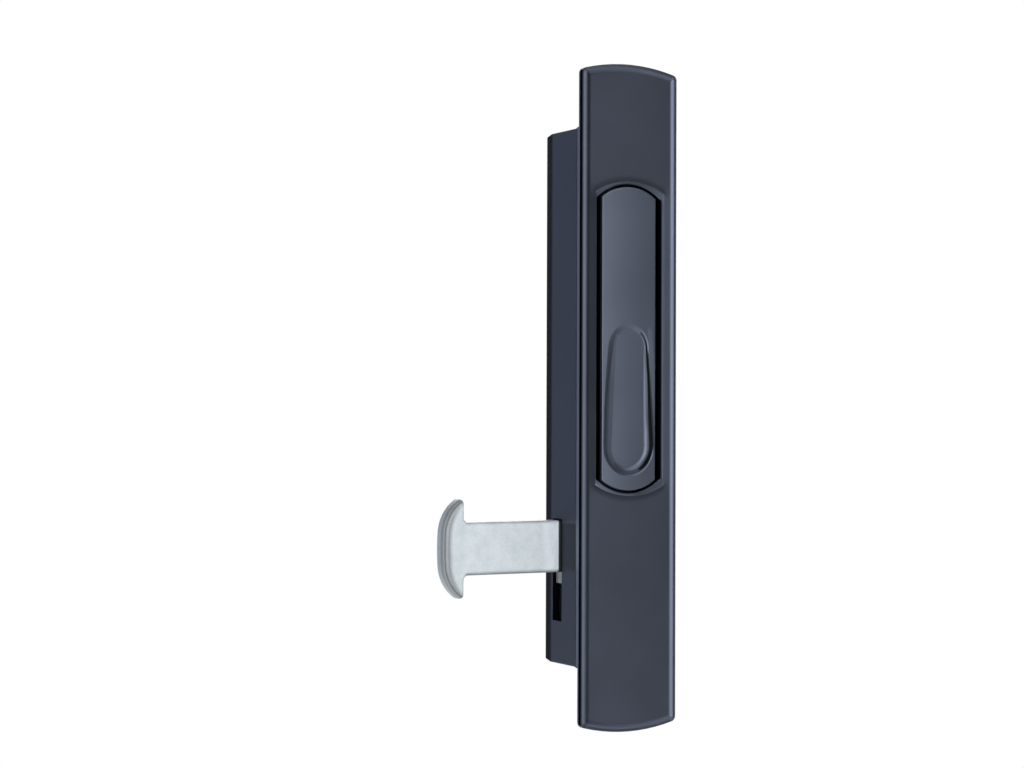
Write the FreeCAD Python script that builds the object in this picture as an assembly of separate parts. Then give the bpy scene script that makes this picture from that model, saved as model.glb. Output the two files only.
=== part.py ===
import FreeCAD, Part
import math
import os

# Flush sliding-door handle with a hammer-head bolt, in millimetres.
# +Z is up, the face plate looks along -Y and the bolt points along -X.
# The origin is the middle of the plate's back face, where the plate meets the door stile.

# Working clearances and how far a cutting tool passes the face it cuts
running_gap = 0.3
pocket_gap = 0.1
screw_gap = 0.02
clamp_hole_gap = 0.1
cut_past = 1.0
join_depth = 0.5

# Face plate
plate_width = 26.6
plate_end_rise = 1.85
plate_corner_radius = 1.4
plate_side = 1.6
plate_end_land = 15.65
rim_edge_width = 0.15
rim_edge_drop = 0.27
rim_crest_inset = 1.0
rim_crest_drop = 0.33
rim_inner_width = 1.1
rim_inner_drop = 0.27
rim_steps = 4
rim_least_radius = 0.3

# Case behind the plate
plate_overhang = 0.7
case_wall = 2.0
case_end_wall = 1.85
case_edge_radius = 0.4
case_taper_length = 3.0
case_taper_inset = 0.45
root_radius = 2.4
head_room = 11.9

# Opening in the plate and the lever that fills it
lever_height = 73.0
lever_width = 15.4
lever_end_radius = 12.8
lever_setback = 0.85
lever_crown = 0.45
lever_back = 1.2
lever_edge_radius = 0.45
lever_side_gap = 1.3
lever_end_gap = 0.6
lever_swing_gap = 0.8
lip_width = 0.7
lip_end_width = 0.75
lip_depth = 0.7
lip_end_radius = 19.5
lever_rib_width = 1.2
lever_rib_back = 3.0
lever_rib_gap = 5.5

# Finger scoop in the lever
scoop_rise = 5.1
scoop_length = 34.2
scoop_top_x = 0.55
scoop_top_radius = 4.2
scoop_bottom_x = 0.75
scoop_bottom_radius = 5.05
scoop_bottom_depth = 1.7
scoop_mouth_proud = 0.85
scoop_mouth_top_x = -1.6
scoop_mouth_top_radius = 8.0
scoop_mouth_bottom_x = -0.44
scoop_mouth_bottom_radius = 7.9
scoop_end_flare_top = 1.2
scoop_end_flare_bottom = 1.75
scoop_floor_round = 1.3
scoop_mouth_round = 0.4

# Lever pivot
pivot_y = 4.2
pivot_pin_radius = 1.5
pin_slot_clearance = 0.02
pin_bush_clearance = 0.03
pivot_end_play = 0.2
ear_inner_x = 4.2
ear_width = 2.8
ear_radius = 3.2
ear_rib_gap = 1.0
bush_wall = 0.9
bush_flange = 0.5
bush_flange_radius = 2.9
lug_inner_x = 8.0
lug_half_height = 7.2
tilt_angle = 14.0

# Bridge that holds the pivot pin in its two lugs
bridge_gap = 0.3
bridge_thickness = 1.2
bridge_side_gap = 0.3
bridge_tongue_gap = 0.1
bridge_screw_radius = 0.65
bridge_screw_length = 6.0
bridge_pilot_depth = 6.6
pan_head_radius = 1.35
pan_head_height = 1.0
bridge_screw_offset = 4.9
driver_slot_width = 0.5

# Shoe on the lever's nose that drives the carriage
shoe_y = 3.6
shoe_rise = 2.8
shoe_radius = 1.8
shoe_length = 7.2
shoe_slot = 2.4
shoe_skin = 0.4
nose_thickness = 2.2
nose_height = 9.4
nose_tip_radius = 1.2
shoe_pin_radius = 0.75
shoe_pin_gap = 0.02
shoe_end_gap = 0.4

# Hammer-head bolt
bolt_travel = 11.5
bar_height = 12.5
bolt_thickness = 3.5
head_height = 23.65
head_reach = 26.15
head_thickness = 5.45
head_face_radius = 60.0
head_flat_half = 4.0
head_shoulder_radius = 10.0
head_tip_fall = 0.85
head_root_radius = 1.2
head_round = 1.3
bar_round = 0.5
tail_shoulder = 2.8
tail_end_x = 8.6
tail_wall_gap = 0.25
slot_front_gap = 0.6
slot_back_gap = 0.4
slot_end_gap = 0.35
slot_skin = 0.6

# Carriage that the bolt is clamped in
carriage_half_width = 9.9
carriage_front = 1.2
carriage_web = 0.7
carriage_rim = 0.95
carriage_roof = 1.5
carriage_end_gap = 0.35
carriage_cover_gap = 0.45
carriage_chamfer = 0.5
ramp_half_width = 4.2
ramp_foot_y = 2.2
ramp_back_wall = 0.8
ramp_overrun_angle = 1.5

# Clamp that holds the bolt in the carriage
clamp_thickness = 1.5
clamp_side_gap = 0.2
clamp_cover_gap = 0.8
clamp_screw_radius = 1.5
clamp_head_radius = 2.6
clamp_head_height = 1.1
clamp_bore_depth = 2.8
clamp_tip_gap = 0.3
clamp_screw_left = -5.2
clamp_screw_right = 4.9
clamp_adjust = 1.2

# Guide rods, buffers and return spring
rod_radius = 1.5
rod_x = 7.3
rod_y = 4.6
rod_running_gap = 0.08
rod_seat_depth = 2.4
shelf_thickness = 1.8
shelf_inner_x = 5.2
shelf_depth = 7.0
foot_height = 4.6
buffer_thickness = 1.2
buffer_radius = 2.9
spring_y = 5.0
spring_radius = 2.35
spring_wire = 0.7
spring_turns = 8
spring_pocket_radius = 3.4
spring_pocket_depth = 7.9
spring_seat_thickness = 0.5
spring_boss_height = 1.6
spring_boss_radius = 3.6
guide_pin_radius = 1.6
guide_pin_seat = 1.4
guide_pin_gap = 0.8

# Rubber pads behind the lever's upper end
ledge_drop = 0.3
ledge_height = 4.0
ledge_thickness = 2.0
pad_radius = 2.0
pad_thickness = 1.5
pad_x = 3.2

# Rear cover
cover_setback = 1.1
cover_thickness = 1.2
cover_side_gap = 0.15
cover_corner_radius = 0.8
small_screw_radius = 0.8
small_head_radius = 1.9
small_head_height = 0.9
small_screw_length = 6.0
small_pilot_depth = 6.6
cover_boss_top_radius = 2.6
cover_boss_bottom_radius = 2.2
cover_screw_inset = 3.0
cover_screw_top_inset = 3.1
cover_screw_bottom_inset = 2.4

# Threaded posts that fix the plate through the door
post_offset = 7.95
post_flats = 7.0
post_length = 12.0
post_spigot_radius = 2.45
post_thread_radius = 1.65
post_thread_depth = 11.0
post_boss_radius = 4.6
post_boss_height = 3.0
post_seat_floor = 0.35
post_chamfer = 0.5

# Heights that stack up inside the case, from its floor to its ceiling
bar_half = bar_height / 2
tail_half = bar_half + tail_shoulder
floor_to_bolt = (foot_height + carriage_end_gap + bolt_travel + carriage_rim + pocket_gap
                 + tail_half)
bolt_to_shelf = tail_half + pocket_gap + carriage_roof + running_gap
inner_height = (floor_to_bolt + bolt_to_shelf + shelf_thickness + lever_swing_gap + lever_height
                + head_room)
case_height = inner_height + 2 * case_end_wall
plate_height = case_height + 2 * plate_end_land

# Depths that stack up behind the lever, from its swing to the case's rear edge
swing_depth = (pivot_y + (shoe_y - pivot_y) * math.cos(math.radians(tilt_angle))
               + (lever_height / 2 - shoe_rise) * math.sin(math.radians(tilt_angle)))
carriage_back = swing_depth + shoe_radius + running_gap + ramp_back_wall
cover_front = carriage_back + carriage_cover_gap
bolt_back = cover_front - clamp_cover_gap - clamp_thickness
bolt_front = bolt_back - bolt_thickness
carriage_step = bolt_front - carriage_web
case_depth = cover_front + cover_thickness + cover_setback

# Places that follow from the sizes above
inner_half_height = inner_height / 2
case_half_height = case_height / 2
floor_z = -inner_half_height
foot_top = floor_z + foot_height
bolt_z = floor_z + floor_to_bolt
shelf_bottom = bolt_z + bolt_to_shelf
shelf_top = shelf_bottom + shelf_thickness
lever_bottom_z = shelf_top + lever_swing_gap
lever_top_z = lever_bottom_z + lever_height
lever_centre_z = lever_bottom_z + lever_height / 2
shoe_z = lever_bottom_z + shoe_rise
scoop_bottom_z = lever_bottom_z + scoop_rise
scoop_top_z = scoop_bottom_z + scoop_length
ledge_top = lever_top_z - ledge_drop
post_z = case_half_height + post_offset
plate_front = -(plate_side + rim_edge_drop + rim_crest_drop)
plate_face = plate_front + rim_inner_drop
plate_half = plate_width / 2
case_half = plate_half - plate_overhang
inner_half = case_half - case_wall
lever_half = lever_width / 2
lever_edge_y = plate_front + lever_setback
lever_face_y = lever_edge_y - lever_crown
ledge_front = lever_back + running_gap + pad_thickness
opening_half = lever_half + lever_side_gap
opening_half_height = lever_height / 2 + lever_end_gap
opening_end_radius = lever_end_radius + lever_end_gap
bush_outer_radius = pivot_pin_radius + pin_bush_clearance + bush_wall
lug_back = pivot_y + ear_radius + bridge_gap
pin_half = inner_half - pivot_end_play
bridge_screw_x = inner_half - pocket_gap - pan_head_radius
slot_inner_x = -(case_half - slot_skin)
tail_start_x = slot_inner_x + tail_wall_gap
head_arm_x = -(case_half + head_reach)
head_tip_x = head_arm_x - head_thickness
cover_screw_x = inner_half - cover_screw_inset
carriage_top = bolt_z + tail_half + pocket_gap + carriage_roof
carriage_bottom = bolt_z - tail_half - pocket_gap - carriage_rim
carriage_front_top = shelf_bottom - buffer_thickness - running_gap
clamp_bore_front = bolt_front - clamp_bore_depth
spring_pocket_top = carriage_bottom + spring_pocket_depth
spring_boss_top = floor_z + spring_boss_height
guide_pin_top = spring_pocket_top - spring_seat_thickness - bolt_travel - guide_pin_gap
slot_top = bolt_z + bar_half + slot_end_gap
slot_bottom = bolt_z - bar_half - bolt_travel - slot_end_gap


def vec(x, y, z):
    return FreeCAD.Vector(x, y, z)


def block(x0, x1, y0, y1, z0, z1):
    """Box between two corners."""
    return Part.makeBox(x1 - x0, y1 - y0, z1 - z0, vec(x0, y0, z0))


def side_block(side, x0, x1, y0, y1, z0, z1):
    """Box between two distances from the middle plane, on the side given as -1 or 1."""
    if side > 0:
        return block(x0, x1, y0, y1, z0, z1)
    return block(-x1, -x0, y0, y1, z0, z1)


def rod_along_x(radius, x0, x1, y, z):
    return Part.makeCylinder(radius, x1 - x0, vec(x0, y, z), vec(1, 0, 0))


def rod_along_y(radius, y0, y1, x, z):
    return Part.makeCylinder(radius, y1 - y0, vec(x, y0, z), vec(0, 1, 0))


def rod_along_z(radius, z0, z1, x, y):
    return Part.makeCylinder(radius, z1 - z0, vec(x, y, z0), vec(0, 0, 1))


def line(a, b):
    return Part.LineSegment(a, b).toShape()


def arc(a, b, c):
    return Part.Arc(a, b, c).toShape()


def fused(shapes):
    return shapes[0].fuse(shapes[1:]).removeSplitter()


def drop_from_crown(radius, x):
    """How far an arc of this radius has fallen at distance x from its crown."""
    return radius - math.sqrt(radius * radius - x * x)


def arched_wire(half_width, half_height, radius, y, centre_z):
    """Upright outline with straight sides and arched ends, in a plane of constant y."""
    corner = half_height - drop_from_crown(radius, half_width)
    right_low = vec(half_width, y, centre_z - corner)
    right_high = vec(half_width, y, centre_z + corner)
    left_high = vec(-half_width, y, centre_z + corner)
    left_low = vec(-half_width, y, centre_z - corner)
    return Part.Wire([
        line(right_low, right_high),
        arc(right_high, vec(0, y, centre_z + half_height), left_high),
        line(left_high, left_low),
        arc(left_low, vec(0, y, centre_z - half_height), right_low),
    ])


def plate_wire(inset, y):
    """The face plate's outline, moved inwards by inset: arched ends and round corners."""
    half = plate_half - inset
    top = plate_height / 2 - inset
    base_radius = (plate_half ** 2 + plate_end_rise ** 2) / (2 * plate_end_rise)
    radius = base_radius - inset
    corner = max(plate_corner_radius - inset, rim_least_radius)
    centre_z = top - radius
    corner_x = half - corner
    corner_z = centre_z + math.sqrt((radius - corner) ** 2 - corner_x ** 2)
    slope = math.atan2(corner_z - centre_z, corner_x)
    touch_x = radius * math.cos(slope)
    touch_z = centre_z + radius * math.sin(slope)
    mid_x = corner_x + corner * math.cos(slope / 2)
    mid_z = corner_z + corner * math.sin(slope / 2)
    edges = [line(vec(half, y, -corner_z), vec(half, y, corner_z))]
    edges.append(arc(vec(half, y, corner_z), vec(mid_x, y, mid_z), vec(touch_x, y, touch_z)))
    edges.append(arc(vec(touch_x, y, touch_z), vec(0, y, top), vec(-touch_x, y, touch_z)))
    edges.append(arc(vec(-touch_x, y, touch_z), vec(-mid_x, y, mid_z), vec(-half, y, corner_z)))
    edges.append(line(vec(-half, y, corner_z), vec(-half, y, -corner_z)))
    edges.append(arc(vec(-half, y, -corner_z), vec(-mid_x, y, -mid_z), vec(-touch_x, y, -touch_z)))
    edges.append(arc(vec(-touch_x, y, -touch_z), vec(0, y, -top), vec(touch_x, y, -touch_z)))
    edges.append(arc(vec(touch_x, y, -touch_z), vec(mid_x, y, -mid_z), vec(half, y, -corner_z)))
    return Part.Wire(edges)


def rim_profile():
    """Pairs of inset and y across the raised rim, from the plate's side to its flat face."""
    edge_y = plate_front + rim_crest_drop
    flank = rim_crest_inset - rim_edge_width
    points = [(0.0, -plate_side), (rim_edge_width, edge_y)]
    for step in range(1, rim_steps + 1):
        share = step / rim_steps
        rise = rim_crest_drop * math.sin(math.pi / 2 * share)
        points.append((rim_edge_width + flank * share, edge_y - rise))
    for step in range(1, rim_steps + 1):
        share = step / rim_steps
        fall = rim_inner_drop * (1 - math.cos(math.pi * share)) / 2
        points.append((rim_crest_inset + rim_inner_width * share, plate_front + fall))
    return points


def face_plate():
    """Plate with arched ends and a raised, rounded rim round its flat face."""
    slab = Part.Face(plate_wire(0.0, 0.0)).extrude(vec(0, -plate_side, 0))
    rim = Part.makeLoft([plate_wire(inset, y) for inset, y in rim_profile()], True, True)
    return fused([slab, rim])


def plate_opening():
    """Tool that cuts the arched opening: a sloped lip, then straight walls."""
    lip_bottom = plate_face + lip_depth
    mouth = arched_wire(opening_half + lip_width, opening_half_height + lip_end_width,
                        lip_end_radius, plate_face, lever_centre_z)
    throat = arched_wire(opening_half, opening_half_height, opening_end_radius, lip_bottom,
                         lever_centre_z)
    lip = Part.makeLoft([mouth, throat], True, True)
    well = Part.Face(throat).extrude(vec(0, join_depth - lip_bottom, 0))
    return fused([lip, well])


def case_wire(inset, y):
    """The case's rectangular outline, moved inwards by inset."""
    half = case_half - inset
    top = case_half_height - inset
    return Part.makePolygon([vec(-half, y, -top), vec(half, y, -top), vec(half, y, top),
                             vec(-half, y, top), vec(-half, y, -top)])


def case_shell():
    """Deep box with soft edges, whose rear end tapers a little on all four sides."""
    taper_start = case_depth - case_taper_length
    front = block(-case_half, case_half, plate_front / 2, taper_start, -case_half_height,
                  case_half_height)
    taper = Part.makeLoft([case_wire(0.0, taper_start), case_wire(case_taper_inset, case_depth)],
                          True, True)
    outer = fused([front, taper])
    rounded = []
    for edge in outer.Edges:
        box = edge.BoundBox
        if box.YLength > case_edge_radius or box.YMax > case_depth * 0.999:
            rounded.append(edge)
    return outer.makeFillet(case_edge_radius, rounded)


def root_flare(side):
    """Hollow fillet where the case's side runs into the plate's back edge."""
    reach = plate_overhang
    fall = root_radius - math.sqrt(root_radius ** 2 - (root_radius - reach) ** 2)
    turn = math.asin((root_radius - reach) / root_radius)
    half_turn = (turn + math.pi / 2) / 2
    mid = vec(side * (case_half + root_radius * (1 - math.sin(half_turn))),
              root_radius * (1 - math.cos(half_turn)), -case_half_height)
    start = vec(side * (case_half + reach), fall, -case_half_height)
    end = vec(side * case_half, root_radius, -case_half_height)
    corner = vec(side * (case_half + reach), -plate_side / 2, -case_half_height)
    inner = vec(side * (case_half - case_wall / 2), -plate_side / 2, -case_half_height)
    inner_end = vec(side * (case_half - case_wall / 2), root_radius, -case_half_height)
    wire = Part.Wire([line(corner, start), arc(start, mid, end), line(end, inner_end),
                      line(inner_end, inner), line(inner, corner)])
    return Part.Face(wire).extrude(vec(0, 0, case_height))


def pivot_lug(side):
    """Lug on the case's side wall that carries one end of the pivot pin."""
    return side_block(side, lug_inner_x, inner_half + case_wall / 2, 0.0, lug_back,
                      lever_centre_z - lug_half_height, lever_centre_z + lug_half_height)


def pivot_lug_slot(side):
    """Open-backed slot in a lug, round at its bottom, for the pivot pin."""
    radius = pivot_pin_radius + pin_slot_clearance
    near = lug_inner_x - cut_past
    far = pin_half + pivot_end_play / 2
    slot = side_block(side, near, far, pivot_y, lug_back + cut_past, lever_centre_z - radius,
                      lever_centre_z + radius)
    start = near if side > 0 else -far
    end = far if side > 0 else -near
    return fused([slot, rod_along_x(radius, start, end, pivot_y, lever_centre_z)])


def rod_shelf(side):
    """Shelf under the opening that holds a guide rod's upper end."""
    return side_block(side, shelf_inner_x, inner_half + case_wall / 2, 0.0, shelf_depth,
                      shelf_bottom, shelf_top)


def rod_foot(side):
    """Block on the case's bottom wall that holds a guide rod's lower end."""
    return side_block(side, shelf_inner_x, inner_half + case_wall / 2, 0.0, shelf_depth,
                      -inner_half_height - case_end_wall / 2, foot_top)


def cover_screw_places():
    places = []
    for side in (-1, 1):
        places.append((side * cover_screw_x, inner_half_height - cover_screw_top_inset,
                       cover_boss_top_radius))
        places.append((side * cover_screw_x, floor_z + cover_screw_bottom_inset,
                       cover_boss_bottom_radius))
    return places


def bridge_screw_places():
    places = []
    for side in (-1, 1):
        for end in (-1, 1):
            places.append((side * bridge_screw_x, lever_centre_z + end * bridge_screw_offset))
    return places


def body_casting():
    """Face plate and case, cast as one piece with its lugs, shelves and bosses."""
    body = fused([face_plate(), case_shell(), root_flare(-1), root_flare(1)])
    cavity = block(-inner_half, inner_half, 0.0, case_depth + cut_past, -inner_half_height,
                   inner_half_height)
    body = body.cut(cavity)
    inside = block(-inner_half - case_wall / 2, inner_half + case_wall / 2, 0.0, cover_front,
                   -inner_half_height - case_end_wall / 2, inner_half_height + case_end_wall / 2)
    added = []
    for side in (-1, 1):
        added.append(pivot_lug(side))
        added.append(rod_shelf(side))
        added.append(rod_foot(side))
    for x, z, radius in cover_screw_places():
        added.append(rod_along_y(radius, 0.0, cover_front, x, z).common(inside))
    added.append(block(-inner_half - case_wall / 2, inner_half + case_wall / 2, ledge_front,
                       ledge_front + ledge_thickness, ledge_top - ledge_height, ledge_top))
    added.append(rod_along_z(spring_boss_radius, -inner_half_height - case_end_wall / 2,
                             spring_boss_top, 0.0, spring_y))
    for end in (-1, 1):
        added.append(rod_along_y(post_boss_radius, plate_front / 2, post_boss_height, 0.0,
                                 end * post_z))
    body = fused([body] + added)
    cuts = [plate_opening()]
    cuts.append(block(-case_half - 2 * plate_overhang, -inner_half + join_depth,
                      bolt_front - slot_front_gap, bolt_back + slot_back_gap,
                      slot_bottom, slot_top))
    cuts.append(block(slot_inner_x, -inner_half + join_depth,
                      bolt_front - slot_front_gap, bolt_back + slot_back_gap,
                      bolt_z - tail_half - bolt_travel - slot_end_gap,
                      bolt_z + tail_half + slot_end_gap))
    for side in (-1, 1):
        cuts.append(pivot_lug_slot(side))
        cuts.append(rod_along_z(rod_radius + screw_gap, foot_top - rod_seat_depth, foot_top + cut_past,
                                side * rod_x, rod_y))
        cuts.append(rod_along_z(rod_radius + screw_gap, shelf_bottom - cut_past, shelf_top + cut_past,
                                side * rod_x, rod_y))
    for x, z, radius in cover_screw_places():
        cuts.append(rod_along_y(small_screw_radius, cover_front - small_pilot_depth,
                                cover_front + cut_past, x, z))
    for x, z in bridge_screw_places():
        cuts.append(rod_along_y(bridge_screw_radius, lug_back - bridge_pilot_depth,
                                lug_back + cut_past, x, z))
    cuts.append(rod_along_z(guide_pin_radius + screw_gap, spring_boss_top - guide_pin_seat,
                            spring_boss_top + cut_past, 0.0, spring_y))
    for end in (-1, 1):
        cuts.append(rod_along_y(post_spigot_radius + screw_gap, post_seat_floor,
                                post_boss_height + cut_past, 0.0, end * post_z))
    for cut in cuts:
        body = body.cut(cut)
    return body.removeSplitter()


def teardrop_wire(top, bottom, depth_at):
    """Teardrop round two circles, each given as x, z and radius, on a surface y = depth_at(z)."""
    run = top[0] - bottom[0]
    rise = top[1] - bottom[1]
    axis = math.atan2(rise, run)
    lean = math.asin((bottom[2] - top[2]) / math.hypot(run, rise))

    def at(circle, angle):
        z = circle[1] + circle[2] * math.sin(angle)
        return vec(circle[0] + circle[2] * math.cos(angle), depth_at(z), z)

    right = axis - math.pi / 2 + lean
    left = axis + math.pi / 2 - lean
    return Part.Wire([
        line(at(bottom, right), at(top, right)),
        arc(at(top, right), at(top, axis), at(top, left)),
        line(at(top, left), at(bottom, left)),
        arc(at(bottom, left), at(bottom, axis + math.pi), at(bottom, right)),
    ])


def scoop_floor_y(z):
    """The scoop's floor slopes back from the lever's face, deepest at its lower end."""
    return lever_edge_y + scoop_bottom_depth * (scoop_top_z - z) / scoop_length


def scoop():
    """Finger scoop: a lopsided teardrop dish, gentle on its left side and steep on its right."""
    floor = teardrop_wire((scoop_top_x, scoop_top_z - scoop_top_radius, scoop_top_radius),
                          (scoop_bottom_x, scoop_bottom_z + scoop_bottom_radius,
                           scoop_bottom_radius), scoop_floor_y)
    mouth_top = scoop_top_z + scoop_end_flare_top - scoop_mouth_top_radius
    mouth_bottom = scoop_bottom_z - scoop_end_flare_bottom + scoop_mouth_bottom_radius
    mouth = teardrop_wire((scoop_mouth_top_x, mouth_top, scoop_mouth_top_radius),
                          (scoop_mouth_bottom_x, mouth_bottom, scoop_mouth_bottom_radius),
                          lambda z: lever_edge_y - scoop_mouth_proud)
    return Part.makeLoft([mouth, floor], True, True)


def scoop_edges(lever):
    """The scoop's lower edges, round its floor, and its upper edges, round its mouth."""
    floor_edges = []
    mouth_edges = []
    for edge in lever.Edges:
        box = edge.BoundBox
        inside = max(abs(box.XMin), abs(box.XMax)) < lever_half - lever_edge_radius / 2
        if not inside or box.ZMax > scoop_top_z + 2 * scoop_end_flare_top:
            continue
        if box.ZMin < scoop_bottom_z - 2 * scoop_end_flare_bottom:
            continue
        span = edge.LastParameter - edge.FirstParameter
        depths = []
        for share in (0.1, 0.5, 0.9):
            point = edge.valueAt(edge.FirstParameter + share * span)
            depths.append(scoop_floor_y(point.z) - point.y)
        if max(abs(depth) for depth in depths) < scoop_floor_round / 100:
            floor_edges.append(edge)
        elif edge.Length > scoop_top_radius and min(depths) > scoop_floor_round / 100:
            mouth_edges.append(edge)
    return floor_edges, mouth_edges


def lever_panel():
    """The lever's face: arched ends, a slight crown across its width and soft edges."""
    outline = arched_wire(lever_half, lever_height / 2, lever_end_radius, lever_face_y - cut_past,
                          lever_centre_z)
    panel = Part.Face(outline).extrude(vec(0, lever_back - lever_face_y + cut_past, 0))
    crown_radius = (lever_half ** 2 + lever_crown ** 2) / (2 * lever_crown)
    crown = rod_along_z(crown_radius, lever_centre_z - lever_height, lever_centre_z + lever_height,
                        0.0, lever_face_y + crown_radius)
    panel = panel.common(crown)
    front_edges = []
    for edge in panel.Edges:
        if edge.BoundBox.YMax < (lever_edge_y + lever_back) / 2:
            front_edges.append(edge)
    return panel.makeFillet(lever_edge_radius, front_edges)


def lever_ribs():
    """Stiffening ribs along the lever's back, left out round the pivot."""
    ribs = []
    gap = ear_radius + ear_rib_gap
    reach = lever_height / 2 - lever_rib_gap
    for side in (-1, 1):
        for low, high in ((-reach, -gap), (gap, reach)):
            ribs.append(side_block(side, lever_half - lever_rib_width, lever_half,
                                   lever_back - join_depth, lever_rib_back,
                                   lever_centre_z + low, lever_centre_z + high))
    return ribs


def lever_ear(side):
    """Ear on the lever's back with a round end about the pivot."""
    start = ear_inner_x if side > 0 else -ear_inner_x - ear_width
    web = block(start, start + ear_width, lever_back - join_depth, pivot_y, lever_centre_z - ear_radius,
                lever_centre_z + ear_radius)
    return fused([web, rod_along_x(ear_radius, start, start + ear_width, pivot_y, lever_centre_z)])


def lever_nose():
    """Web on the lever's back that carries the shoe."""
    half = nose_thickness / 2
    web = block(-half, half, lever_back - join_depth, shoe_y, shoe_z - nose_tip_radius,
                lever_bottom_z + nose_height)
    return fused([web, rod_along_x(nose_tip_radius, -half, half, shoe_y, shoe_z)])


def tilt_lever():
    """Cast lever with its scoop, ribs, ears and nose."""
    lever = fused([lever_panel()] + lever_ribs()
                  + [lever_ear(-1), lever_ear(1), lever_nose()])
    lever = lever.cut(rod_along_x(bush_outer_radius + screw_gap, -lever_half, lever_half, pivot_y,
                                  lever_centre_z))
    lever = lever.cut(rod_along_x(shoe_pin_radius + shoe_pin_gap, -lever_half, lever_half, shoe_y,
                                  shoe_z))
    lever = lever.removeSplitter().cut(scoop())
    lever = lever.makeFillet(scoop_mouth_round, scoop_edges(lever)[1])
    return lever.makeFillet(scoop_floor_round, scoop_edges(lever)[0])


def lever_bushes():
    """Two flanged bushes, one in each ear."""
    bushes = []
    for side in (-1, 1):
        start = ear_inner_x if side > 0 else -ear_inner_x - ear_width
        flange = start + ear_width if side > 0 else start - bush_flange
        body = fused([
            rod_along_x(bush_outer_radius, start, start + ear_width, pivot_y, lever_centre_z),
            rod_along_x(bush_flange_radius, flange, flange + bush_flange, pivot_y, lever_centre_z),
        ])
        bore = rod_along_x(pivot_pin_radius + pin_bush_clearance, start - cut_past,
                           start + ear_width + cut_past, pivot_y, lever_centre_z)
        bushes.append(body.cut(bore))
    return Part.makeCompound(bushes)


def pivot_pin():
    return rod_along_x(pivot_pin_radius, -pin_half, pin_half, pivot_y, lever_centre_z)


def countersink(radius, height, hole_radius, y, x, z):
    """Cone that opens towards +Y, with its wide end at y."""
    return Part.makeCone(hole_radius, radius, height, vec(x, y - height, z), vec(0, 1, 0))


def pivot_bridge():
    """Plate behind the pivot, with tongues that close the two lug slots."""
    half = inner_half - bridge_side_gap
    back = lug_back + bridge_thickness
    tongue_front = pivot_y + pivot_pin_radius + pin_slot_clearance
    tongue_half = pivot_pin_radius - bridge_tongue_gap
    bridge = block(-half, half, lug_back, back, lever_centre_z - lug_half_height,
                   lever_centre_z + lug_half_height)
    tongues = []
    for side in (-1, 1):
        tongues.append(side_block(side, lug_inner_x + bridge_tongue_gap, half, tongue_front,
                                  lug_back + join_depth, lever_centre_z - tongue_half,
                                  lever_centre_z + tongue_half))
    bridge = fused([bridge] + tongues)
    for x, z in bridge_screw_places():
        bridge = bridge.cut(rod_along_y(bridge_screw_radius + clamp_hole_gap, lug_back - cut_past,
                                        back + cut_past, x, z))
    return bridge


def pan_head_screw(x, y, z):
    """Small screw with a low round head and a driver slot; the head sits on y."""
    shank = rod_along_y(bridge_screw_radius - screw_gap, y - bridge_screw_length, y, x, z)
    head = rod_along_y(pan_head_radius, y, y + pan_head_height, x, z)
    slot = block(x - pan_head_radius, x + pan_head_radius, y + pan_head_height / 2,
                 y + pan_head_height + cut_past, z - driver_slot_width / 2, z + driver_slot_width / 2)
    return fused([shank, head]).cut(slot)


def flat_head_screw(shank_radius, head_radius, head_height, length, x, y, z):
    """Countersunk screw with a driver slot; its head lies flush with y."""
    head = Part.makeCone(shank_radius, head_radius, head_height, vec(x, y - head_height, z),
                         vec(0, 1, 0))
    shank = rod_along_y(shank_radius, y - length, y - head_height, x, z)
    slot = block(x - head_radius, x + head_radius, y - head_height / 2, y + cut_past,
                 z - driver_slot_width / 2, z + driver_slot_width / 2)
    return fused([shank, head]).cut(slot)


def pivot_bridge_screws():
    back = lug_back + bridge_thickness
    return Part.makeCompound([pan_head_screw(x, back, z) for x, z in bridge_screw_places()])


def cam_shoe():
    """Slippery shoe that straddles the lever's nose and rides on the carriage ramp."""
    shoe = rod_along_x(shoe_radius, -shoe_length / 2, shoe_length / 2, shoe_y, shoe_z)
    slot_floor = shoe_y + shoe_radius - shoe_skin
    slot = block(-shoe_slot / 2, shoe_slot / 2, shoe_y - 2 * shoe_radius, slot_floor,
                 shoe_z - 2 * shoe_radius, shoe_z + 2 * shoe_radius)
    pin_hole = rod_along_x(shoe_pin_radius + shoe_pin_gap, -shoe_length, shoe_length, shoe_y, shoe_z)
    return shoe.cut(slot).cut(pin_hole)


def cam_shoe_pin():
    half = shoe_length / 2 - shoe_end_gap
    return rod_along_x(shoe_pin_radius, -half, half, shoe_y, shoe_z)


def shoe_path(angle):
    """The shoe's centre at a lever angle in degrees, as the moving carriage sees it."""
    turn = math.radians(angle)
    rel_y = shoe_y - pivot_y
    rel_z = shoe_z - lever_centre_z
    y = pivot_y + rel_y * math.cos(turn) - rel_z * math.sin(turn)
    z = lever_centre_z + rel_y * math.sin(turn) + rel_z * math.cos(turn)
    return y, z + bolt_travel * angle / tilt_angle


def ramp_point(angle):
    """Point of the ramp that faces the shoe at this angle, a running gap away from it."""
    step = 0.01
    before = shoe_path(angle - step)
    after = shoe_path(angle + step)
    run = after[0] - before[0]
    rise = after[1] - before[1]
    size = math.hypot(run, rise)
    offset = shoe_radius + running_gap
    y, z = shoe_path(angle)
    return vec(-ramp_half_width, y + offset * rise / size, z - offset * run / size)


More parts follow.
